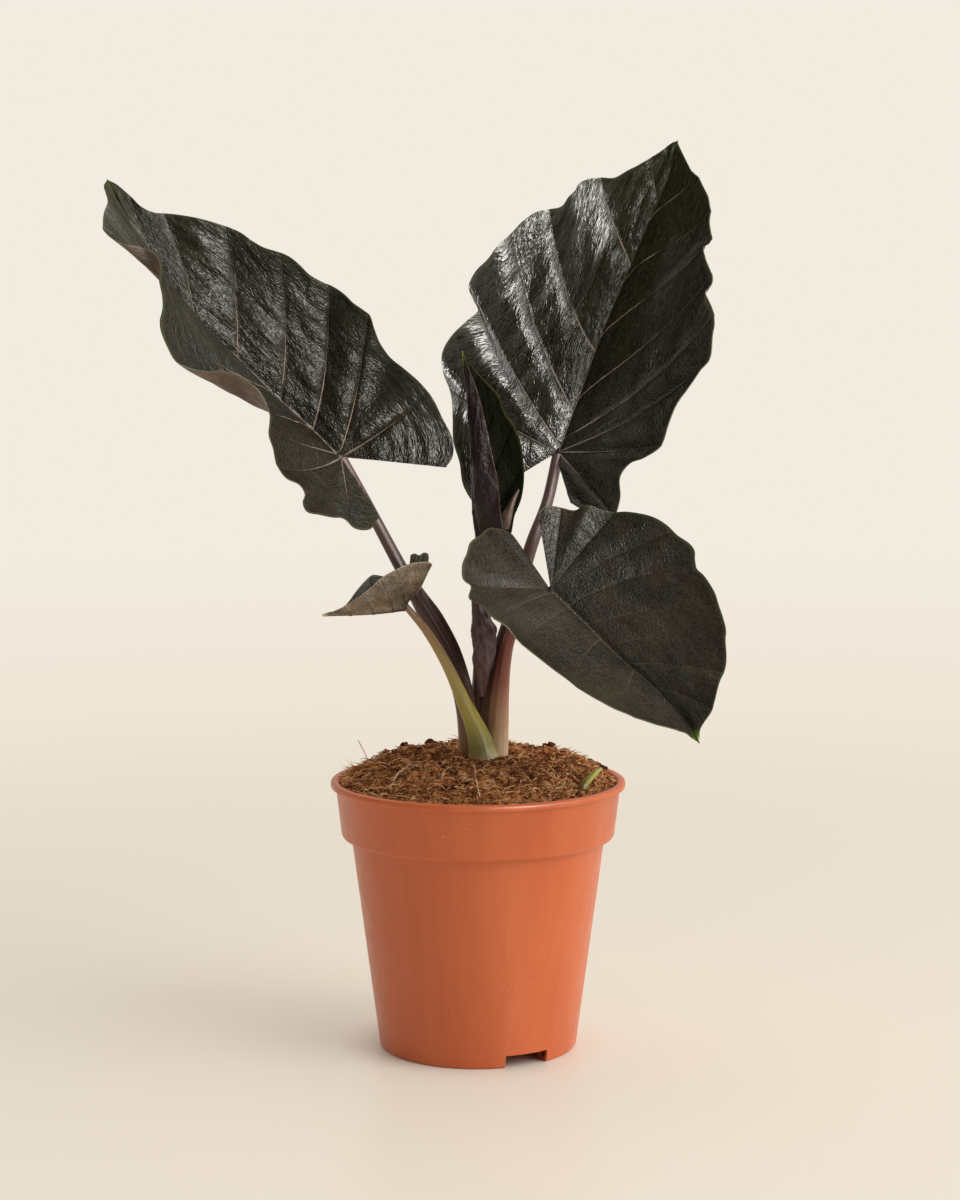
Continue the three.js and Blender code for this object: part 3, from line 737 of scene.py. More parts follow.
# A blade is laid out in mm in its own directions: (along the midrib, across, lift). Its rays run from the midrib to
# the margin, which is given from the notch beside the stalk, round the lobe, to the tip. The first fan_margin points
# belong to the first fan_rays rays, which all start at the stalk. Each side vein is given by the ray that it follows
# at the midrib and the one at the margin. cup says how far a half is bowed and cup_at where it is deepest, quilt how
# far it is puffed up between its veins and crest where, and flat_end and flat_tip calm the two towards the tip.
def half_sheet(leaf, side, rays, shares):
    """Points of one half of a blade, a row for each ray, with each ray's length and how far past the fan it starts."""
    start, directions, length = blade_directions(leaf)
    half = leaf[side]
    sign = -1 if side == "left" else 1
    margin = [*half["margin"], (length, 0, 0)]
    split = half["fan_margin"] / (len(margin) - 1)
    fan, last = leaf["fan_rays"], leaf["rays"]
    past_fan = np.maximum(0, (rays - fan) / (last - fan))
    end = spline(margin, np.where(rays <= fan, split * rays / fan, split + (1 - split) * past_fan))
    root = spline([(0, 0, 0), *leaf["rib"], (length, 0, 0)], past_fan ** RAY_SWEEP)
    calm_end = end.copy()
    for _ in range(CALMING):
        calm_end[1:-1] = (calm_end[:-2] + 2 * calm_end[1:-1] + calm_end[2:]) / 4
    wave = end - calm_end
    chord = calm_end - root
    reach = np.linalg.norm(chord, axis=1)
    free = eased(rays, 0, FREE_RAYS)
    bulge = np.stack([np.zeros(len(rays)), sign * chord[:, 2], -sign * chord[:, 1]], axis=1)
    cup = half["cup"] * free * (1 - half.get("flat_end", 0) * eased(past_fan, 0.3, 0.75))
    sag = cup[:, None] * swell(shares, half.get("cup_at", 0.65))
    points = root[:, None] + chord[:, None] * shares[None, :, None] + bulge[:, None] * sag[..., None]
    points += wave[:, None] * shares[None, :, None] ** 3
    points[..., 0] -= RAY_BOW * (reach * free)[:, None] * swell(shares, 0.5)
    return start + points @ directions, reach, past_fan


def sheet_normals(points, sign, facing):
    """Directions away from the upper side, calmed a little from ray to ray."""
    normal = np.cross(np.gradient(points, axis=0), np.gradient(points, axis=1)) * -sign
    normal[:, 0] = normal[:, 1]
    for _ in range(3):
        normal[1:-1] = (normal[:-2] + 2 * normal[1:-1] + normal[2:]) / 4
    flat = np.linalg.norm(normal, axis=-1, keepdims=True) < 1e-9
    return unit(np.where(flat, facing, normal))


def side_vein_phase(half, rays, shares, last):
    """Counts side veins along the margin, so that each vein lies where the count is whole."""
    veins = np.array(half["veins"], float)
    at = veins[:, :1] + (veins[:, 1:] - veins[:, :1]) * shares[None, :] ** 0.6
    ends = np.vstack([np.full((1, len(shares)), -2.0), at, np.full((1, len(shares)), last + 2.0)])
    return np.stack([np.interp(rays, ends[:, column], np.arange(len(ends)) - 1.0)
                     for column in range(len(shares))], axis=1)


def along_veins(out, count, length, per_vein, seed):
    """Noise that runs with the side veins: its length along them is in mm, and per_vein is how fast it changes."""
    return noise.noise(Vector((out / length, count * per_vein, seed)))


def puckered(leaf, side, points, normals, phase, gap, reach, past_fan, shares):
    """Lifts the blade between its side veins, sinks the veins, and wrinkles it."""
    half = leaf[side]
    across = (phase - np.floor(phase)) ** (math.log(0.5) / math.log(half.get("crest", 0.5)))
    between = np.sin(math.pi * across) ** 0.75
    inside = eased(shares, *leaf.get("quilt_from", (0.02, 0.3))) * (1 - 0.5 * eased(shares, 0.8, 1.0))
    room = np.minimum(1, gap / FULL_QUILT_GAP)
    calm_tip = 1 - half.get("flat_tip", 0) * eased(past_fan, 0.5, 0.75)
    off_rib = reach[:, None] * shares[None, :]
    seed = leaf["seed"] + (0 if side == "left" else 50)
    swelling, wrinkles = np.ones(phase.shape), np.zeros(phase.shape)
    for row in range(phase.shape[0]):
        for column in range(phase.shape[1]):
            out, count = off_rib[row, column], phase[row, column]
            swelling[row, column] += SWELLING * along_veins(out, count, 13, 0.9, seed + 20)
            wrinkles[row, column] = (along_veins(out, count, 5.0, 1.3, seed)
                                     + FINE_WRINKLES * along_veins(out, count, 1.9, 3.2, seed + 9))
    height = half["quilt"] * swelling * between * inside[None, :] * room * calm_tip[:, None]
    off_vein = np.abs(phase - np.rint(phase)) * gap
    height -= leaf.get("vein_depth", 0.3) * np.exp(-(off_vein / VEIN_GROOVE) ** 2) * (1 - 0.6 * shares[None, :]) * room
    height -= leaf["rib_groove"] * np.exp(-(off_rib / RIB_GROOVE) ** 2) * (1 - 0.8 * past_fan[:, None])
    calm = np.minimum(1, off_rib / CALM_BY_RIB) * (1 - 0.5 * eased(shares, 0.9, 1.0))[None, :]
    height += half["wrinkle"] * wrinkles * calm * room
    return points + normals * height[..., None]


def blade(name, leaf):
    """A blade's sheet with its count of veins, thickened downwards and most of all under the midrib."""
    rows, columns = leaf["rows"], leaf["columns"]
    rays = np.linspace(0, leaf["rays"], rows + 1)
    shares = np.linspace(0, 1, columns + 1)
    _, directions, _ = blade_directions(leaf)
    sheet = np.zeros((rows + 1, 2 * columns + 1, 3))
    rib_points = []
    off_ribs, phases, gaps = np.zeros((3, rows + 1, 2 * columns + 1, 2))
    for number, (side, sign) in enumerate((("left", -1), ("right", 1))):
        points, reach, past_fan = half_sheet(leaf, side, rays, shares)
        phase = side_vein_phase(leaf[side], rays, shares, leaf["rays"])
        spacing = np.linalg.norm(np.gradient(points, axis=0), axis=-1)
        gap = spacing / np.maximum(np.abs(np.gradient(phase, axis=0)), 1e-6)
        normals = sheet_normals(points, sign, directions[2])
        points = puckered(leaf, side, points, normals, phase, gap, reach, past_fan, shares)
        rib_points.append(points[:, 0])
        into = columns + sign * np.arange(columns + 1)
        sheet[:, into] = points
        off_ribs[:, into, number] = reach[:, None] * shares[None, :]
        phases[:, into, number] = phase
        gaps[:, into, number] = gap
    sheet[:, columns] = (rib_points[0] + rib_points[1]) / 2

    piece, share = grid_piece(name, 2 * columns, rows)
    across = np.rint(share[:, 0] * 2 * columns).astype(int)
    row = np.rint(share[:, 1] * rows).astype(int)
    set_points(piece, sheet[row, across])
    mesh = piece.data
    corners = np.zeros(len(mesh.loops), int)
    mesh.loops.foreach_get("vertex_index", corners)
    in_right_half = (across[corners].reshape(-1, 4).mean(axis=1) > columns).repeat(4).astype(int)
    corner = (row[corners], across[corners], in_right_half)
    out = np.abs(across[corners] - columns) / columns
    grain = phases[corner] * GRAIN_PER_VEIN + BETWEEN_HALVES * in_right_half
    mesh.uv_layers[0].name = "veins"
    mesh.uv_layers.new(name="grain")
    for layer, uv in (("veins", (out, phases[corner])), ("grain", (off_ribs[corner], grain))):
        mesh.uv_layers[layer].data.foreach_set("uv", np.stack(uv, axis=1).ravel())
    onward = past_fan[row]
    mark_points(mesh, "gap", gaps.max(axis=2)[row, across])
    mark_points(mesh, "onward", onward)

    near_rib = off_ribs.max(axis=2)[row, across]
    thin = BLADE_THICKNESS / RIB_THICKNESS
    weight = thin + (1 - thin) * np.exp(-(near_rib / leaf["rib_width"]) ** 2) * (1 - onward) ** 1.5
    weight *= 1 - 0.6 * eased(onward, 0.8, 1.0)
    group = piece.vertex_groups.new(name="thickness")
    for index, value in enumerate(weight):
        group.add([index], float(value), "REPLACE")
    open_mesh(piece)
    bpy.ops.mesh.remove_doubles(threshold=0.01 * MM)
    bpy.ops.object.mode_set(mode="OBJECT")
    for material in leaf["skins"]:
        mesh.materials.append(material)
    apply_modifier(piece, "SOLIDIFY", thickness=RIB_THICKNESS * MM, offset=-1,
                   vertex_group="thickness", material_offset=1, material_offset_rim=2)
    piece.vertex_groups.clear()
    smooth_piece(piece, 70)
    return piece


def split_up(tree, vector):
    return add_node(tree, "SeparateXYZ", {0: vector}).outputs


def vein_marks(tree):
    """Where a point of a blade lies: its share of the way out, and its distances in mm from veins."""
    out, count, _ = split_up(tree, add_node(tree, "UVMap", uv_map="veins").outputs[0])
    grain = add_node(tree, "UVMap", uv_map="grain").outputs[0]
    return {"out": out, "grain": grain, "off_rib": split_up(tree, grain)[0], "onward": point_mark(tree, "onward"),
            "off_vein": times(tree, calc(tree, "PINGPONG", count, 0.5), point_mark(tree, "gap"))}


def net_of_veins(tree, grain):
    """The finest veins: ridges round meshes that are a gap in mm wide. 1 on a ridge, 0 between them."""
    wander = add_node(tree, "TexNoise", {"Vector": grain, "Scale": 0.5, "Detail": 2.0}).outputs["Color"]
    warped = add_node(tree, "VectorMath", {0: wander, 1: (1.6, 1.6, 0), 2: grain},
                      operation="MULTIPLY_ADD").outputs[0]
    off_ridge = add_node(tree, "TexVoronoi", {
        "Vector": stretched(tree, warped, (1, 0.62, 1)), "Scale": 1 / NET_GAP},
        feature="DISTANCE_TO_EDGE").outputs[0]
    return fade(tree, off_ridge, 0.32, 0.0)


def blade_skin(name, deep, cloud, vein, edge, tip, roughness, net_depth, vein_show=0.9, rib_show=0.7,
               far=None, tip_from=0.94, shine=0.4, tip_shine=None, cloudy=45, net_tint_and_glint=0.05):
    """A blade's side. far and tip_shine are the colour and the gloss past the middle, if they are other ones."""
    material, tree = new_material(name, IOR=1.5, Specular_IOR_Level=shine)
    place = object_place(tree)
    marks = vein_marks(tree)
    out, onward = marks["out"], marks["onward"]
    base = mixed(tree, fade(tree, noise_at(tree, place, cloudy, 5, 0.6), 0.35, 0.7), deep, cloud)
    if far is not None:
        base = mixed(tree, fade(tree, onward, 0.3, 0.95, 0.0, 0.75), base, far)
    if tip_shine is not None:
        by_rib = times(tree, fade(tree, onward, 0.12, 0.35), fade(tree, out, 0.6, 0.3))
        dull = calc(tree, "MAXIMUM", by_rib, fade(tree, onward, 0.5, 0.8))
        feed(tree, tree.nodes["Principled BSDF"].inputs["Specular IOR Level"],
             fade(tree, dull, 0.0, 1.0, shine, tip_shine))
    net = net_of_veins(tree, marks["grain"])
    # The net's ridges take a share of the vein colour: on undersides the veins' own dark colour, on the dark upper
    # sides pale lines that are partly the veins' own colour and partly painted glints on the ridges.
    base = mixed(tree, fade(tree, net, 0.6, 1.0, 0.0, net_tint_and_glint), base, vein)
    width = fade(tree, out, 0.0, 0.8, *VEIN_WIDTHS)
    line = fade(tree, marks["off_vein"], width, times(tree, width, 0.3))
    patchy = fade(tree, noise_at(tree, marks["grain"], 0.08, 2), 0.3, 0.5)
    shown = times(tree, times(tree, line, patchy), fade(tree, out, 0.75, 0.15, 0.14, vein_show))
    base = mixed(tree, shown, base, vein)
    rib = times(tree, fade(tree, marks["off_rib"], 0.5, 0.15), fade(tree, onward, 0.6, 0.0, 0.1, rib_show))
    base = mixed(tree, rib, base, vein)
    base = mixed(tree, fade(tree, out, 0.965, 1.0, 0.0, 0.7), base, edge)
    base = mixed(tree, fade(tree, onward, tip_from, 1.0), base, tip)
    puckers = noise_at(tree, stretched(tree, marks["grain"], (0.3, 0.3, 1)), 1.0, 3, 0.6)
    bumps = relief(tree, puckers, net_depth * 2.5, relief(tree, net, net_depth))
    dress(tree, base,
          fade(tree, noise_at(tree, place, 160, 4, 0.6), 0.35, 0.65, roughness, roughness + 0.1),
          relief(tree, fade(tree, marks["off_vein"], 0.0, 0.5), net_depth * 2, bumps))
    return material


def leaf_edge(name, colour, tip):
    material, tree = new_material(name, IOR=1.45)
    mottle = noise_at(tree, object_place(tree), 120, 3)
    base = mixed(tree, times(tree, mottle, 0.6), colour, (52, 50, 38))
    base = mixed(tree, fade(tree, point_mark(tree, "onward"), 0.9, 1.0), base, tip)
    dress(tree, base, fade(tree, mottle, 0.3, 0.7, 0.4, 0.55))
    return material


black_leaf_top = blade_skin(
    "black_leaf_top", deep=(19, 16, 6), cloud=(32, 30, 15), vein=(176, 160, 146),
    edge=(74, 78, 52), tip=(58, 68, 32), roughness=0.19, net_depth=0.09, far=(40, 43, 18), shine=0.5,
    tip_shine=0.1)
black_leaf_top_left = blade_skin(
    "black_leaf_top_left", deep=(22, 19, 8), cloud=(38, 35, 19), vein=(176, 160, 146),
    edge=(74, 78, 52), tip=(58, 68, 32), roughness=0.25, net_depth=0.12, far=(42, 42, 24), shine=0.22)
mauve_underside = blade_skin(
    "mauve_underside", deep=(80, 62, 50), cloud=(108, 88, 72), vein=(52, 32, 30),
    edge=(98, 88, 66), tip=(96, 100, 56), roughness=0.48, net_depth=0.12, cloudy=90, net_tint_and_glint=0.25)
olive_edge = leaf_edge("olive_leaf_edge", (96, 96, 68), (84, 108, 40))
# Its bright green tip is painted light shining through the thin tip.
grey_leaf_top = blade_skin(
    "grey_leaf_top", deep=(26, 22, 13), cloud=(52, 45, 32), vein=(118, 110, 94),
    edge=(84, 88, 60), tip=(122, 164, 48), roughness=0.36, net_depth=0.1, net_tint_and_glint=0.14,
    vein_show=0.3, rib_show=0.12, tip_from=0.9, shine=0.25)

left_leaf = blade("left_leaf", {
    "skins": (black_leaf_top_left, mauve_underside, olive_edge), "seed": 1,
    "rows": 240, "columns": 62, "rays": 30, "fan_rays": 14, "rib_groove": 0.7, "rib_width": 2.2,
    "junction": (-55.4, 5, 240.7), "tip": (-146.9, -4, 350.9), "facing": (0.48, -0.81, 0.33),
    "rib": [(18, 0, -3), (34, -2, -4), (52, -4, -4), (69, -7, -3), (82, -9, -2), (106, -6, 0), (125, -5, 1)],
    "left": {
        "cup": 0.07, "cup_at": 0.72, "flat_end": 0.85, "fan_margin": 14, "quilt": 0.7, "wrinkle": 0.3,
        "veins": [(2.3, 2.3), (10.1, 11.1), (14.8, 13.8), (17.3, 17.3), (20.1, 20.4), (23, 23.5), (26, 26.5)],
        "margin": [
            (-27.2, -10.9, 10.1), (-27.6, -20.9, 15.5), (-23.5, -26.1, 16.7), (-17.7, -27.8, 17.8),
            (-13.3, -35.1, 23.9), (-8.6, -40.6, 26.7), (-4.6, -43.7, 26.4), (-1.1, -41.8, 25.1),
            (0.8, -38, 24.2), (4.8, -37.3, 24.5), (10.2, -39.7, 24.5), (16.2, -38.4, 23.5), (21.6, -35, 22.7),
            (27.3, -33.6, 24.9), (32.2, -30, 28.5), (37.6, -27.8, 29.4), (43.3, -26.5, 28.8),
            (49.6, -28.2, 29), (54.3, -29.5, 27), (58.3, -32.8, 26.5), (61.3, -36.8, 25.3), (65.5, -40.2, 24),
            (71.2, -42.7, 22.7), (78.6, -41.6, 23.4), (85.9, -38.2, 23.6), (90.8, -32.3, 24.4),
            (95, -29, 24.8), (99.3, -26.4, 24.7), (103.9, -19.6, 21.8), (108.7, -15.4, 17.2),
            (113.3, -16.2, 14.7), (116.6, -19.8, 15.5), (119.8, -23.1, 15.6), (124.2, -23.5, 13.1),
            (128.1, -22, 10.4), (131.1, -18.5, 8), (133.9, -14.6, 7.2), (136.2, -10.3, 6.8), (139.6, -7, 4.2),
            (142.4, -3.9, 1.7)],
    },
    "right": {
        "cup": 0.08, "fan_margin": 10, "quilt": 1.5, "crest": 0.4, "flat_tip": 0.5, "wrinkle": 0.7,
        "veins": [(5.7, 6.1), (14.5, 14.2), (17.1, 17), (19.6, 19.8), (22.2, 22.7), (25, 25.5), (27.5, 28)],
        "margin": [
            (-30.7, 25.1, 16), (-29, 29.8, 18), (-23.5, 34.2, 19.5), (-14, 36.5, 20.4), (-6.3, 37.1, 22.8),
            (2, 37.3, 23), (10.3, 36.9, 21.5), (18, 36.5, 19.3), (25.2, 36.5, 20.5), (31.2, 37.2, 22.9),
            (36, 38, 25), (40, 37.9, 24.4), (44.1, 37.6, 23), (48.8, 37.8, 21.6), (53.6, 37.2, 19.8),
            (58.5, 35.1, 18.7), (63.9, 32.7, 18.7), (69.5, 31.5, 19.3), (74.6, 29.9, 19.7), (79.3, 27.6, 18.7),
            (83.6, 25.9, 16.6), (88.5, 24.9, 14.8), (94.2, 23.7, 13.6), (99.5, 21.3, 12.1),
            (105.2, 17.8, 10.9), (110.6, 13.9, 9.5), (114.8, 10.9, 7.3), (118.5, 8.3, 4.9), (121.5, 5.4, 3.4),
            (124.8, 3.1, 3.2), (128.6, 1.9, 2.8), (133.3, 2.2, 1.9), (137.6, 2, 1), (140.7, 1.3, 0.6)],
    },
})
hand_over(left_leaf, "left_leaf_blade")

back_leaf = blade("back_leaf", {
    "skins": (black_leaf_top, mauve_underside, olive_edge), "seed": 2,
    "rows": 240, "columns": 62, "rays": 30, "fan_rays": 14, "rib_groove": 0.7, "rib_width": 2.2,
    "junction": (33, 28, 241.6), "tip": (82.8, 44, 369.4), "facing": (-0.32, -0.92, 0.24),
    "rib": [(23, -1, -2), (53, -2, -3), (83, -1, -3), (107, 0, -2), (123, 1, -1)],
    "left": {
        "cup": 0.06, "fan_margin": 10, "quilt": 1.9, "crest": 0.68, "flat_tip": 0.65, "wrinkle": 0.6,
        "veins": [(8.6, 7.2), (14.9, 15.5), (17.6, 18), (20.4, 20), (23.6, 24), (26.5, 27)],
        "margin": [
            (-32.4, -23.9, 7.9), (-26.8, -29.7, 11.3), (-19, -34.1, 12.4), (-11.8, -39.6, 13.3),
            (-2.6, -42.8, 16.3), (7.2, -47.3, 17.3), (14.5, -53.6, 18.5), (21.1, -56, 19.9),
            (29.1, -54.2, 21.3), (36.5, -50.9, 20.6), (43, -49, 18), (46.4, -52.3, 18.8), (50.8, -55.5, 20.1),
            (57.1, -54.9, 20.9), (63.6, -51.9, 21.1), (70.7, -50.2, 20.4), (77.4, -47.2, 18.1),
            (84, -45.4, 16.2), (89.5, -42.5, 13.6), (92.8, -37.9, 11.8), (95.5, -33.1, 12),
            (100.1, -31.5, 12.8), (103.4, -30.4, 12), (106.7, -30.2, 11.1), (110.1, -27.4, 9.5),
            (112.6, -23.3, 7.5), (114.5, -18.2, 6), (118.9, -14.2, 5.6), (122.7, -11, 4.5), (127.1, -8, 2.7),
            (130.5, -5.8, 1.6), (133, -4.1, 1.2), (135.3, -2.8, 0.9), (137, -1.6, 0.6)],
    },
    "right": {
        "cup": 0.08, "fan_margin": 14, "quilt": 1.5, "wrinkle": 0.3,
        "veins": [
            (3.0, 3.0), (8.5, 8.0), (13.0, 12.7), (15.6, 15.4), (18.3, 19.3), (20.9, 22.5), (23, 25), (25.5, 27.5)],
        "margin": [
            (-18.2, 14.9, 4), (-19.8, 23.5, 8.2), (-20.7, 31.9, 12.5), (-19, 37.6, 15.1), (-10.7, 37.1, 13.4),
            (-2, 33.3, 11.6), (4, 35.1, 11.6), (8.1, 40.9, 15), (14.5, 46.3, 17.8), (23.4, 46.7, 18.3),
            (32.7, 46.8, 16.7), (41.4, 48.7, 16.7), (47.9, 50.8, 19.2), (54.3, 53, 19.8), (63.1, 50.5, 17.8),
            (67.3, 49.3, 16.9), (70.9, 47.2, 16.2), (74, 45.1, 16), (76.4, 42.9, 16.1), (78.9, 40.7, 16.5),
            (81.6, 41.4, 16.5), (83.5, 41.7, 17.1), (85.2, 41.1, 17.1), (87.8, 38.8, 15.7), (90.7, 35.9, 13.7),
            (93.3, 33.6, 12.2), (95.8, 31.8, 10.6), (98, 31, 10), (99.5, 32, 11), (101, 33.5, 12.5),
            (103.2, 32.8, 13.4), (107.5, 30.1, 12.3), (112.9, 27.4, 10.3), (117.5, 24.6, 9.4),
            (121.2, 20.9, 8.8), (124.6, 17.3, 7.7), (126.1, 13, 6.1), (128.9, 9.7, 3.9), (131.9, 6.4, 2.4),
            (134.9, 3.1, 1.2)],
    },
})
hand_over(back_leaf, "back_leaf_blade")

front_leaf = blade("front_leaf", {
    "skins": (grey_leaf_top, mauve_underside, olive_edge), "seed": 3,
    "rows": 220, "columns": 56, "rays": 30, "fan_rays": 14, "rib_groove": 0.5, "rib_width": 2.0,
    "quilt_from": (0.15, 0.6), "vein_depth": 0.2,
    "junction": (29, -18, 189.1), "tip": (85.5, -52, 133.1), "facing": (0.17, -0.76, 0.63),
    "rib": [(18, -2, -2), (39, -3, -3), (55, -4, -2), (73, -3, -1)],
    "left": {
        "cup": 0.06, "fan_margin": 11, "quilt": 0.8, "wrinkle": 0.25,
        "veins": [(2.7, 2.7), (8.4, 7.8), (14.2, 12.4), (17.1, 16), (19.1, 19.6), (20.9, 21.5), (22.6, 24), (25, 26.5)],
        "margin": [
            (-26, -13.3, 12), (-25.5, -17.6, 13.6), (-22.2, -21.3, 13.9), (-17.1, -24.9, 14.7),
            (-14.4, -28.6, 18.8), (-10.2, -31.6, 18.3), (-5.9, -34.5, 19.1), (-1, -37.5, 22.5),
            (7.9, -41.3, 26.5), (13.8, -43, 26.8), (19.4, -43.6, 26), (26, -45, 26), (29.1, -45, 24.8),
            (31.4, -43.4, 23.2), (34.8, -41.3, 22.7), (39.1, -40.6, 23.9), (43.6, -39.7, 24.1),
            (48.2, -38.4, 23.7), (52.4, -36.4, 22.7), (56.6, -35, 21.5), (60.7, -33.2, 19.9),
            (64.3, -30.4, 17.6), (68.2, -27.9, 15.3), (71.7, -24.6, 13.4), (74.1, -20.3, 11.6),
            (76.6, -16.5, 9.8), (79, -13, 8), (81, -9.7, 6.2), (82, -6.3, 4.4), (83.1, -3.4, 2.7),
            (84.9, -1.7, 1.3)],
    },
    "right": {
        "cup": 0.1, "fan_margin": 11, "quilt": 0.5, "wrinkle": 0.15,
        "veins": [(1.8, 1.8), (9.9, 9.6), (14.9, 14.6), (17.4, 16.8), (20.5, 20.1), (23.5, 23.2), (26.2, 26)],
        "margin": [
            (-28.1, -3.5, 2.3), (-32.4, -0.9, 3.1), (-34.4, 3.8, 5.4), (-32.3, 11.9, 9.5), (-30.9, 18.8, 12.3),
            (-26.5, 25.3, 15.3), (-20.7, 33.9, 20.6), (-16.8, 36.3, 18.8), (-13.4, 35.2, 17.7),
            (-7.3, 42.3, 22.1), (-0.5, 43.1, 26.4), (4, 44, 28), (8.3, 43, 27.5), (13, 41.3, 26.3),
            (18.2, 40.7, 24.5), (23.6, 39.5, 23.1), (29.3, 37.9, 21.7), (35.1, 36.1, 20.2), (41.5, 34.1, 19.4),
            (49, 32.5, 19.4), (55.7, 29.9, 18.7), (60.4, 25.9, 15.7), (64.4, 21.2, 12.5), (68.4, 17.1, 9.9),
            (72.2, 12.9, 7.4), (75.4, 8.2, 4.9), (78.4, 3.6, 2.1), (80.6, 1.4, 0.8), (81.9, 1, 0.3),
            (83.3, 0.9, 0), (84.9, 0.4, -0.1)],
    },
})
hand_over(front_leaf, "front_leaf_blade")

# ---- New leaf, still rolled ----
# The youngest blade stands upright in the middle. Its front half curls over the back half and shows its glossy purple
# underside, and the back half opens to the right with its dark green upper side. One lobe at its foot is turned over.

rolled_inside = blade_skin(
    "rolled_leaf_inside", deep=(8, 9, 2), cloud=(17, 19, 5), vein=(60, 62, 34),
    edge=(76, 84, 36), tip=(120, 130, 40), roughness=0.45, net_depth=0.06, vein_show=0.3, shine=0.05)
rolled_outside = blade_skin(
    "rolled_leaf_outside", deep=(31, 19, 19), cloud=(45, 30, 30), vein=(84, 60, 58),
    edge=(98, 74, 68), tip=(120, 120, 50), roughness=0.24, net_depth=0.05, vein_show=0.2, shine=0.17)
rolled_edge = leaf_edge("rolled_leaf_edge", (84, 84, 50), (130, 140, 50))

new_leaf = blade("new_leaf", {
    "skins": (rolled_inside, rolled_outside, rolled_edge), "seed": 4,
    "rows": 160, "columns": 44, "rays": 20, "fan_rays": 7, "rib_groove": 0.3, "rib_width": 1.4,
    "junction": (1.6, 2, 205), "tip": (-6.4, 0, 283.3), "facing": (1, -0.2, 0.1),
    "rib": [(10, 0, -1.2), (20, 0, -1.2), (35, 0, -0.5), (55, 0, 0.3)],
    "left": {
        "cup": 0.38, "cup_at": 0.5, "fan_margin": 4, "quilt": 0.25, "wrinkle": 0.3,
        "veins": [(ray, ray) for ray in (3, 6, 9, 12, 15, 17.5)],
        "margin": [
            (-3, -2, 4), (0, -4, 8), (6, -5, 10), (14, -5, 10), (22, -4, 10), (31, -4, 9.5), (43, -3.5, 8),
            (55, -3, 6.5), (63, -2, 5), (71, -1, 2.5)],
    },
    "right": {
        "cup": 0.22, "cup_at": 0.5, "fan_margin": 4, "quilt": 0.4, "wrinkle": 0.25,
        "veins": [(ray, ray) for ray in (3, 6, 9, 12, 15, 17.5)],
        "margin": [
            (-3, 3, 3), (-3, 6, 7), (3, 7, 11), (10, 8, 13), (17, 8.5, 16.5), (27, 9, 18.5), (40, 8, 18.5),
            (47, 7, 16.5), (53, 6, 13.5), (60, 4, 12), (66, 3, 7.5), (73, 1.5, 2.5)],
    },
})
hand_over(new_leaf, "new_leaf_blade")

LOBE_ACROSS, LOBE_ALONG = 8, 16
lobe_sides = [spline(side, np.linspace(0, 1, LOBE_ALONG + 1)) for side in (
    [(16.4, 3.2, 227.9), (14, 2.6, 224.8), (12, 2.1, 221.3), (9.6, 1.9, 217.8), (7.9, 2, 214.6), (9.6, 2.4, 212.2)],
    [(16.6, 3.3, 227.5), (14.6, 1.9, 222), (13.6, 1.2, 217), (12.9, 1.4, 213.4), (12.3, 1.9, 211.6),
     (11.2, 2.3, 211.6)])]
lobe, share = grid_piece("new_leaf_lobe", LOBE_ACROSS, LOBE_ALONG)
across = share[:, :1]
row = np.rint(share[:, 1] * LOBE_ALONG).astype(int)
set_points(lobe, lobe_sides[0][row] * (1 - across) + lobe_sides[1][row] * across
           - np.array([0.2, 1.0, 0]) * swell(share[:, 0], 0.5)[:, None])
apply_modifier(lobe, "SOLIDIFY", thickness=BLADE_THICKNESS * MM, offset=0)
material, tree = new_material("lobe_underside", IOR=1.45)
mottle = noise_at(tree, object_place(tree), 220, 4)
dress(tree, colours(tree, mottle, (0.3, (80, 60, 50)), (0.7, (128, 106, 94))),
      fade(tree, mottle, 0.3, 0.7, 0.4, 0.55), relief(tree, mottle, 0.3))
finished(lobe, material, "new_leaf_blade")

# ---- Small old leaf ----
# An early blade that is drying on the green stalk: cupped like a boat, dull and grey-brown underneath, dark above,
# with a torn upper edge and a dead cream tip.

old_upper = blade_skin(
    "old_leaf_upper", deep=(40, 38, 28), cloud=(62, 58, 44), vein=(110, 98, 76),
    edge=(112, 100, 78), tip=(196, 176, 134), roughness=0.5, net_depth=0.06, vein_show=0.4)
old_underside = blade_skin(
    "old_leaf_underside", deep=(100, 85, 66), cloud=(154, 136, 110), vein=(70, 46, 40),
    edge=(182, 164, 134), tip=(214, 190, 140), roughness=0.55, net_depth=0.16,
    vein_show=0.6, cloudy=120, net_tint_and_glint=0.16)
old_edge = leaf_edge("old_leaf_edge", (140, 122, 92), (210, 190, 146))

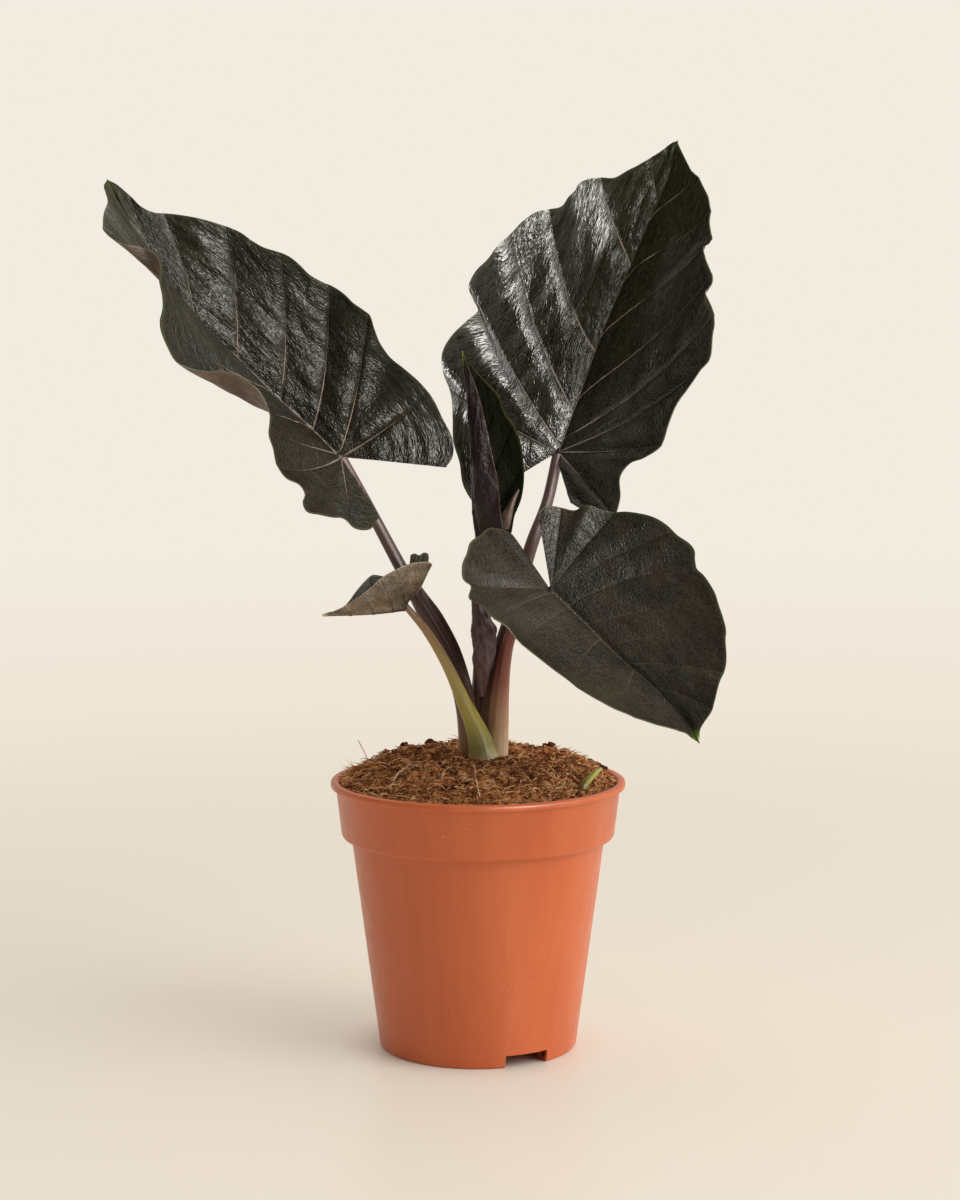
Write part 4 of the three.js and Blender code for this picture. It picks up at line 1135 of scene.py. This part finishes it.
small_leaf = blade("small_leaf", {
    "skins": (old_upper, old_underside, old_edge), "seed": 5,
    "rows": 130, "columns": 36, "rays": 18, "fan_rays": 8, "rib_groove": 0.3, "rib_width": 1.2,
    "junction": (-29.6, -12, 182), "tip": (-62, -18, 178.6), "facing": (0, 0.2, 1),
    "rib": [(8, 0, -0.7), (16, 0, -0.8), (24, 0, -0.4)],
    "left": {
        "cup": 0.2, "fan_margin": 6, "quilt": 0.9, "wrinkle": 0.75,
        "veins": [(ray, ray) for ray in (4, 8, 10.5, 13, 15.5)],
        "margin": [
            (-4, -2, 3), (-7, -4, 6), (-10, -6, 11), (-12, -8, 15), (-7, -9, 16), (-2, -10, 15.5),
            (3, -10, 14), (8, -10, 12), (14, -8, 8), (20, -5, 4.5), (26, -3, 2)],
    },
    "right": {
        "cup": 0.2, "fan_margin": 8, "quilt": 0.3, "wrinkle": 0.2,
        "veins": [(ray, ray) for ray in (4, 8, 10.5, 13, 15.5)],
        "margin": [
            (-4, 2, 3), (-9, 4, 9), (-13, 5, 17), (-13.3, 5.6, 20.2), (-11.6, 6, 20.9), (-9.8, 6.3, 20.1),
            (-8.1, 6.6, 21), (-6.4, 7, 20.6), (-6, 7.6, 17.6), (-3, 9, 13.5),
            (2, 10, 12.5), (6, 11, 14), (9.5, 11, 14.8), (12.5, 11, 13), (17, 9, 9), (22, 6, 4), (27, 3, 1.5)],
    },
})
hand_over(small_leaf, "small_leaf_blade")

# ---- Stalks ----
# Smooth, half-glossy living stalks that rise from the mix and widen into open sheaths near the base, each wrapped
# round the next younger one. A purple sheath that has begun to dry stands round the youngest.


def stalk_skin(name, upward, streak, roughness):
    """upward gives the (share of the way up, colour) stops; streak is the colour of the fine lengthwise lines."""
    material, tree = new_material(name, IOR=1.45)
    unrolled = add_node(tree, "TexCoord").outputs["UV"]
    lines = noise_at(tree, stretched(tree, unrolled, (46, 2.5, 1)), 1.0, 4)
    patches = noise_at(tree, object_place(tree), 70, 4)
    height = calc(tree, "ADD", split_up(tree, unrolled)[1], calc(tree, "MULTIPLY_ADD", patches, 0.08, -0.04))
    base = mixed(tree, fade(tree, lines, 0.45, 0.75, 0.0, 0.5), colours(tree, height, *upward), streak)
    dress(tree, base, fade(tree, patches, 0.3, 0.7, roughness, roughness + 0.12),
          relief(tree, lines, 0.1, relief(tree, patches, 0.2)))
    return material


def channelled(degrees, width, depth, start, end):
    """A section with an open channel at an angle from the front, between two shares of the way up. Its width is an
    angle in radians and its depth a share of the radius."""
    def section(turn, share):
        off = np.abs((turn - math.radians(degrees) + math.pi) % (2 * math.pi) - math.pi) / width
        window = eased(share, start, start + 0.12) * (1 - eased(share, end - 0.12, end))
        lips = 0.1 * np.exp(-((off - 1.15) / 0.25) ** 2)
        return 1 + window * (lips - depth * np.exp(-off ** 4))
    return section


finished(tube("small_leaf_stem", [
    (2.6, -5.5, 103, 6.8), (2.4, -6, 119, 6.4), (0.8, -6.8, 127, 5), (-2.4, -8, 135.5, 3.7), (-6, -9, 143.5, 2.9),
    (-12.7, -11, 158.5, 2.1), (-20.7, -12, 172, 1.7), (-28.5, -12, 181.5, 1.3),
], sides=48, rings=130, section=channelled(70, 0.7, 0.3, 0.12, 0.6)), stalk_skin("green_stalk", (
    (0.12, (186, 176, 132)), (0.24, (138, 134, 76)), (0.45, (178, 166, 72)),
    (0.65, (174, 152, 78)), (0.86, (164, 124, 86)), (1.0, (132, 98, 78))), (190, 184, 118), 0.36),
    "small_leaf_stalk")

finished(tube("left_leaf_stem", [
    (-3.6, 3, 103, 4.2), (-3.6, 2.8, 118, 4.2), (-4.8, 2.5, 138, 4.2), (-7.5, 2, 150, 4.2), (-12, 3, 162.5, 4.4),
    (-18, 3.5, 173.5, 4.6), (-24, 4, 183.5, 3.6), (-30, 4.5, 193.5, 2.7), (-46, 5.5, 223.5, 2.3),
    (-55.2, 6, 240, 2.3),
], sides=48, rings=170, section=channelled(48, 0.75, 0.4, 0.25, 0.72)), stalk_skin("purple_brown_stalk", (
    (0.1, (176, 142, 100)), (0.2, (118, 82, 58)), (0.4, (64, 37, 31)),
    (0.8, (78, 52, 48)), (1.0, (112, 84, 80))), (112, 82, 78), 0.38),
    "left_leaf_stalk")

finished(tube("front_leaf_stem", [
    (7.9, -0.4, 103, 4.4), (7.9, -0.8, 118, 4.4), (8.4, -0.8, 134, 4.1), (9.2, -1.4, 146.5, 3.5),
    (10.5, -2.2, 157, 2.8), (12.5, -4, 167, 2.4), (17, -8, 178, 2.2), (29, -16.5, 188.5, 2),
], sides=48, rings=120, section=channelled(-60, 0.6, 0.25, 0.2, 0.75)), stalk_skin("red_brown_stalk", (
    (0.17, (228, 206, 168)), (0.28, (192, 152, 118)), (0.47, (146, 86, 68)),
    (0.8, (122, 66, 58)), (1.0, (110, 74, 70))), (164, 104, 90), 0.4),
    "front_leaf_stalk")

finished(tube("back_leaf_stem", [
    (4.5, 8.4, 103, 5.3), (4.5, 8.2, 118, 5.2), (5.6, 8.5, 138, 4.8), (7, 8.5, 150, 4.1), (9.6, 9.5, 162, 3.5),
    (13.2, 11.5, 174, 3), (22, 18, 204, 2.7), (28.5, 24, 221, 2.4), (33, 29, 240.5, 2.3),
], sides=48, rings=150), stalk_skin("mauve_stalk", (
    (0.12, (206, 178, 142)), (0.21, (156, 118, 92)), (0.34, (96, 64, 52)), (0.5, (72, 48, 44)),
    (1.0, (96, 70, 68))), (118, 90, 88), 0.34),
    "back_leaf_stalk")

finished(tube("new_leaf_stem", [
    (-1.2, 10.6, 103, 3), (-1.2, 10.4, 118, 3), (-0.5, 9.4, 138, 2.7), (0.5, 7.5, 150, 2.8), (1.5, 5, 162, 3),
    (2.5, 3.5, 183, 3), (2, 3, 195, 2.8), (1.7, 2.6, 204.4, 2.2),
], sides=40, rings=110), stalk_skin("young_purple_stalk", (
    (0.1, (150, 120, 90)), (0.4, (84, 56, 58)), (1.0, (88, 58, 62))), (120, 92, 100), 0.36),
    "new_leaf_stalk")


def crumpled(turn, share):
    """A section whose wall is folded and wrinkled all over."""
    folds = np.zeros(len(turn))
    for index, (angle, way) in enumerate(zip(turn, share)):
        spot = Vector((1.8 * math.cos(angle), 1.8 * math.sin(angle), way * 5 + 20))
        folds[index] = noise.noise(spot) + 0.5 * noise.noise(spot * 2.6)
    return 1 + 0.3 * folds


finished(tube("wrinkled_sheath", [
    (1.8, -1.5, 144, 1), (1.8, -2, 152, 2.6), (2.4, -3, 163, 4.4), (2, -3, 171, 4.6), (0.2, -2, 179, 2.8),
    (-1, -1, 188, 1.8),
], sides=56, rings=110, section=crumpled), stalk_skin("drying_sheath", (
    (0.0, (96, 68, 68)), (0.5, (84, 60, 64)), (1.0, (64, 44, 46))), (136, 112, 120), 0.28),
    "dry_sheath")

# ---- Young shoot ----
# A small side shoot that has just come through the mix near the right edge of the pot. It is soft and yellow-green,
# paler at the tip, with a shallow channel where its sheath will open.

finished(tube("side_shoot", [
    (40.8, -30.5, 107.5, 1.1), (41.6, -30.2, 111, 1.35), (43.5, -29, 114.2, 1.45), (46.5, -27.5, 117, 1.1),
    (49.2, -26, 118.7, 0.4),
], sides=24, rings=50, section=channelled(20, 0.5, 0.25, 0.3, 0.9)), stalk_skin("shoot_green", (
    (0.3, (122, 124, 44)), (0.7, (172, 168, 70)), (1.0, (204, 200, 118))), (186, 190, 96), 0.36),
    "young_shoot")
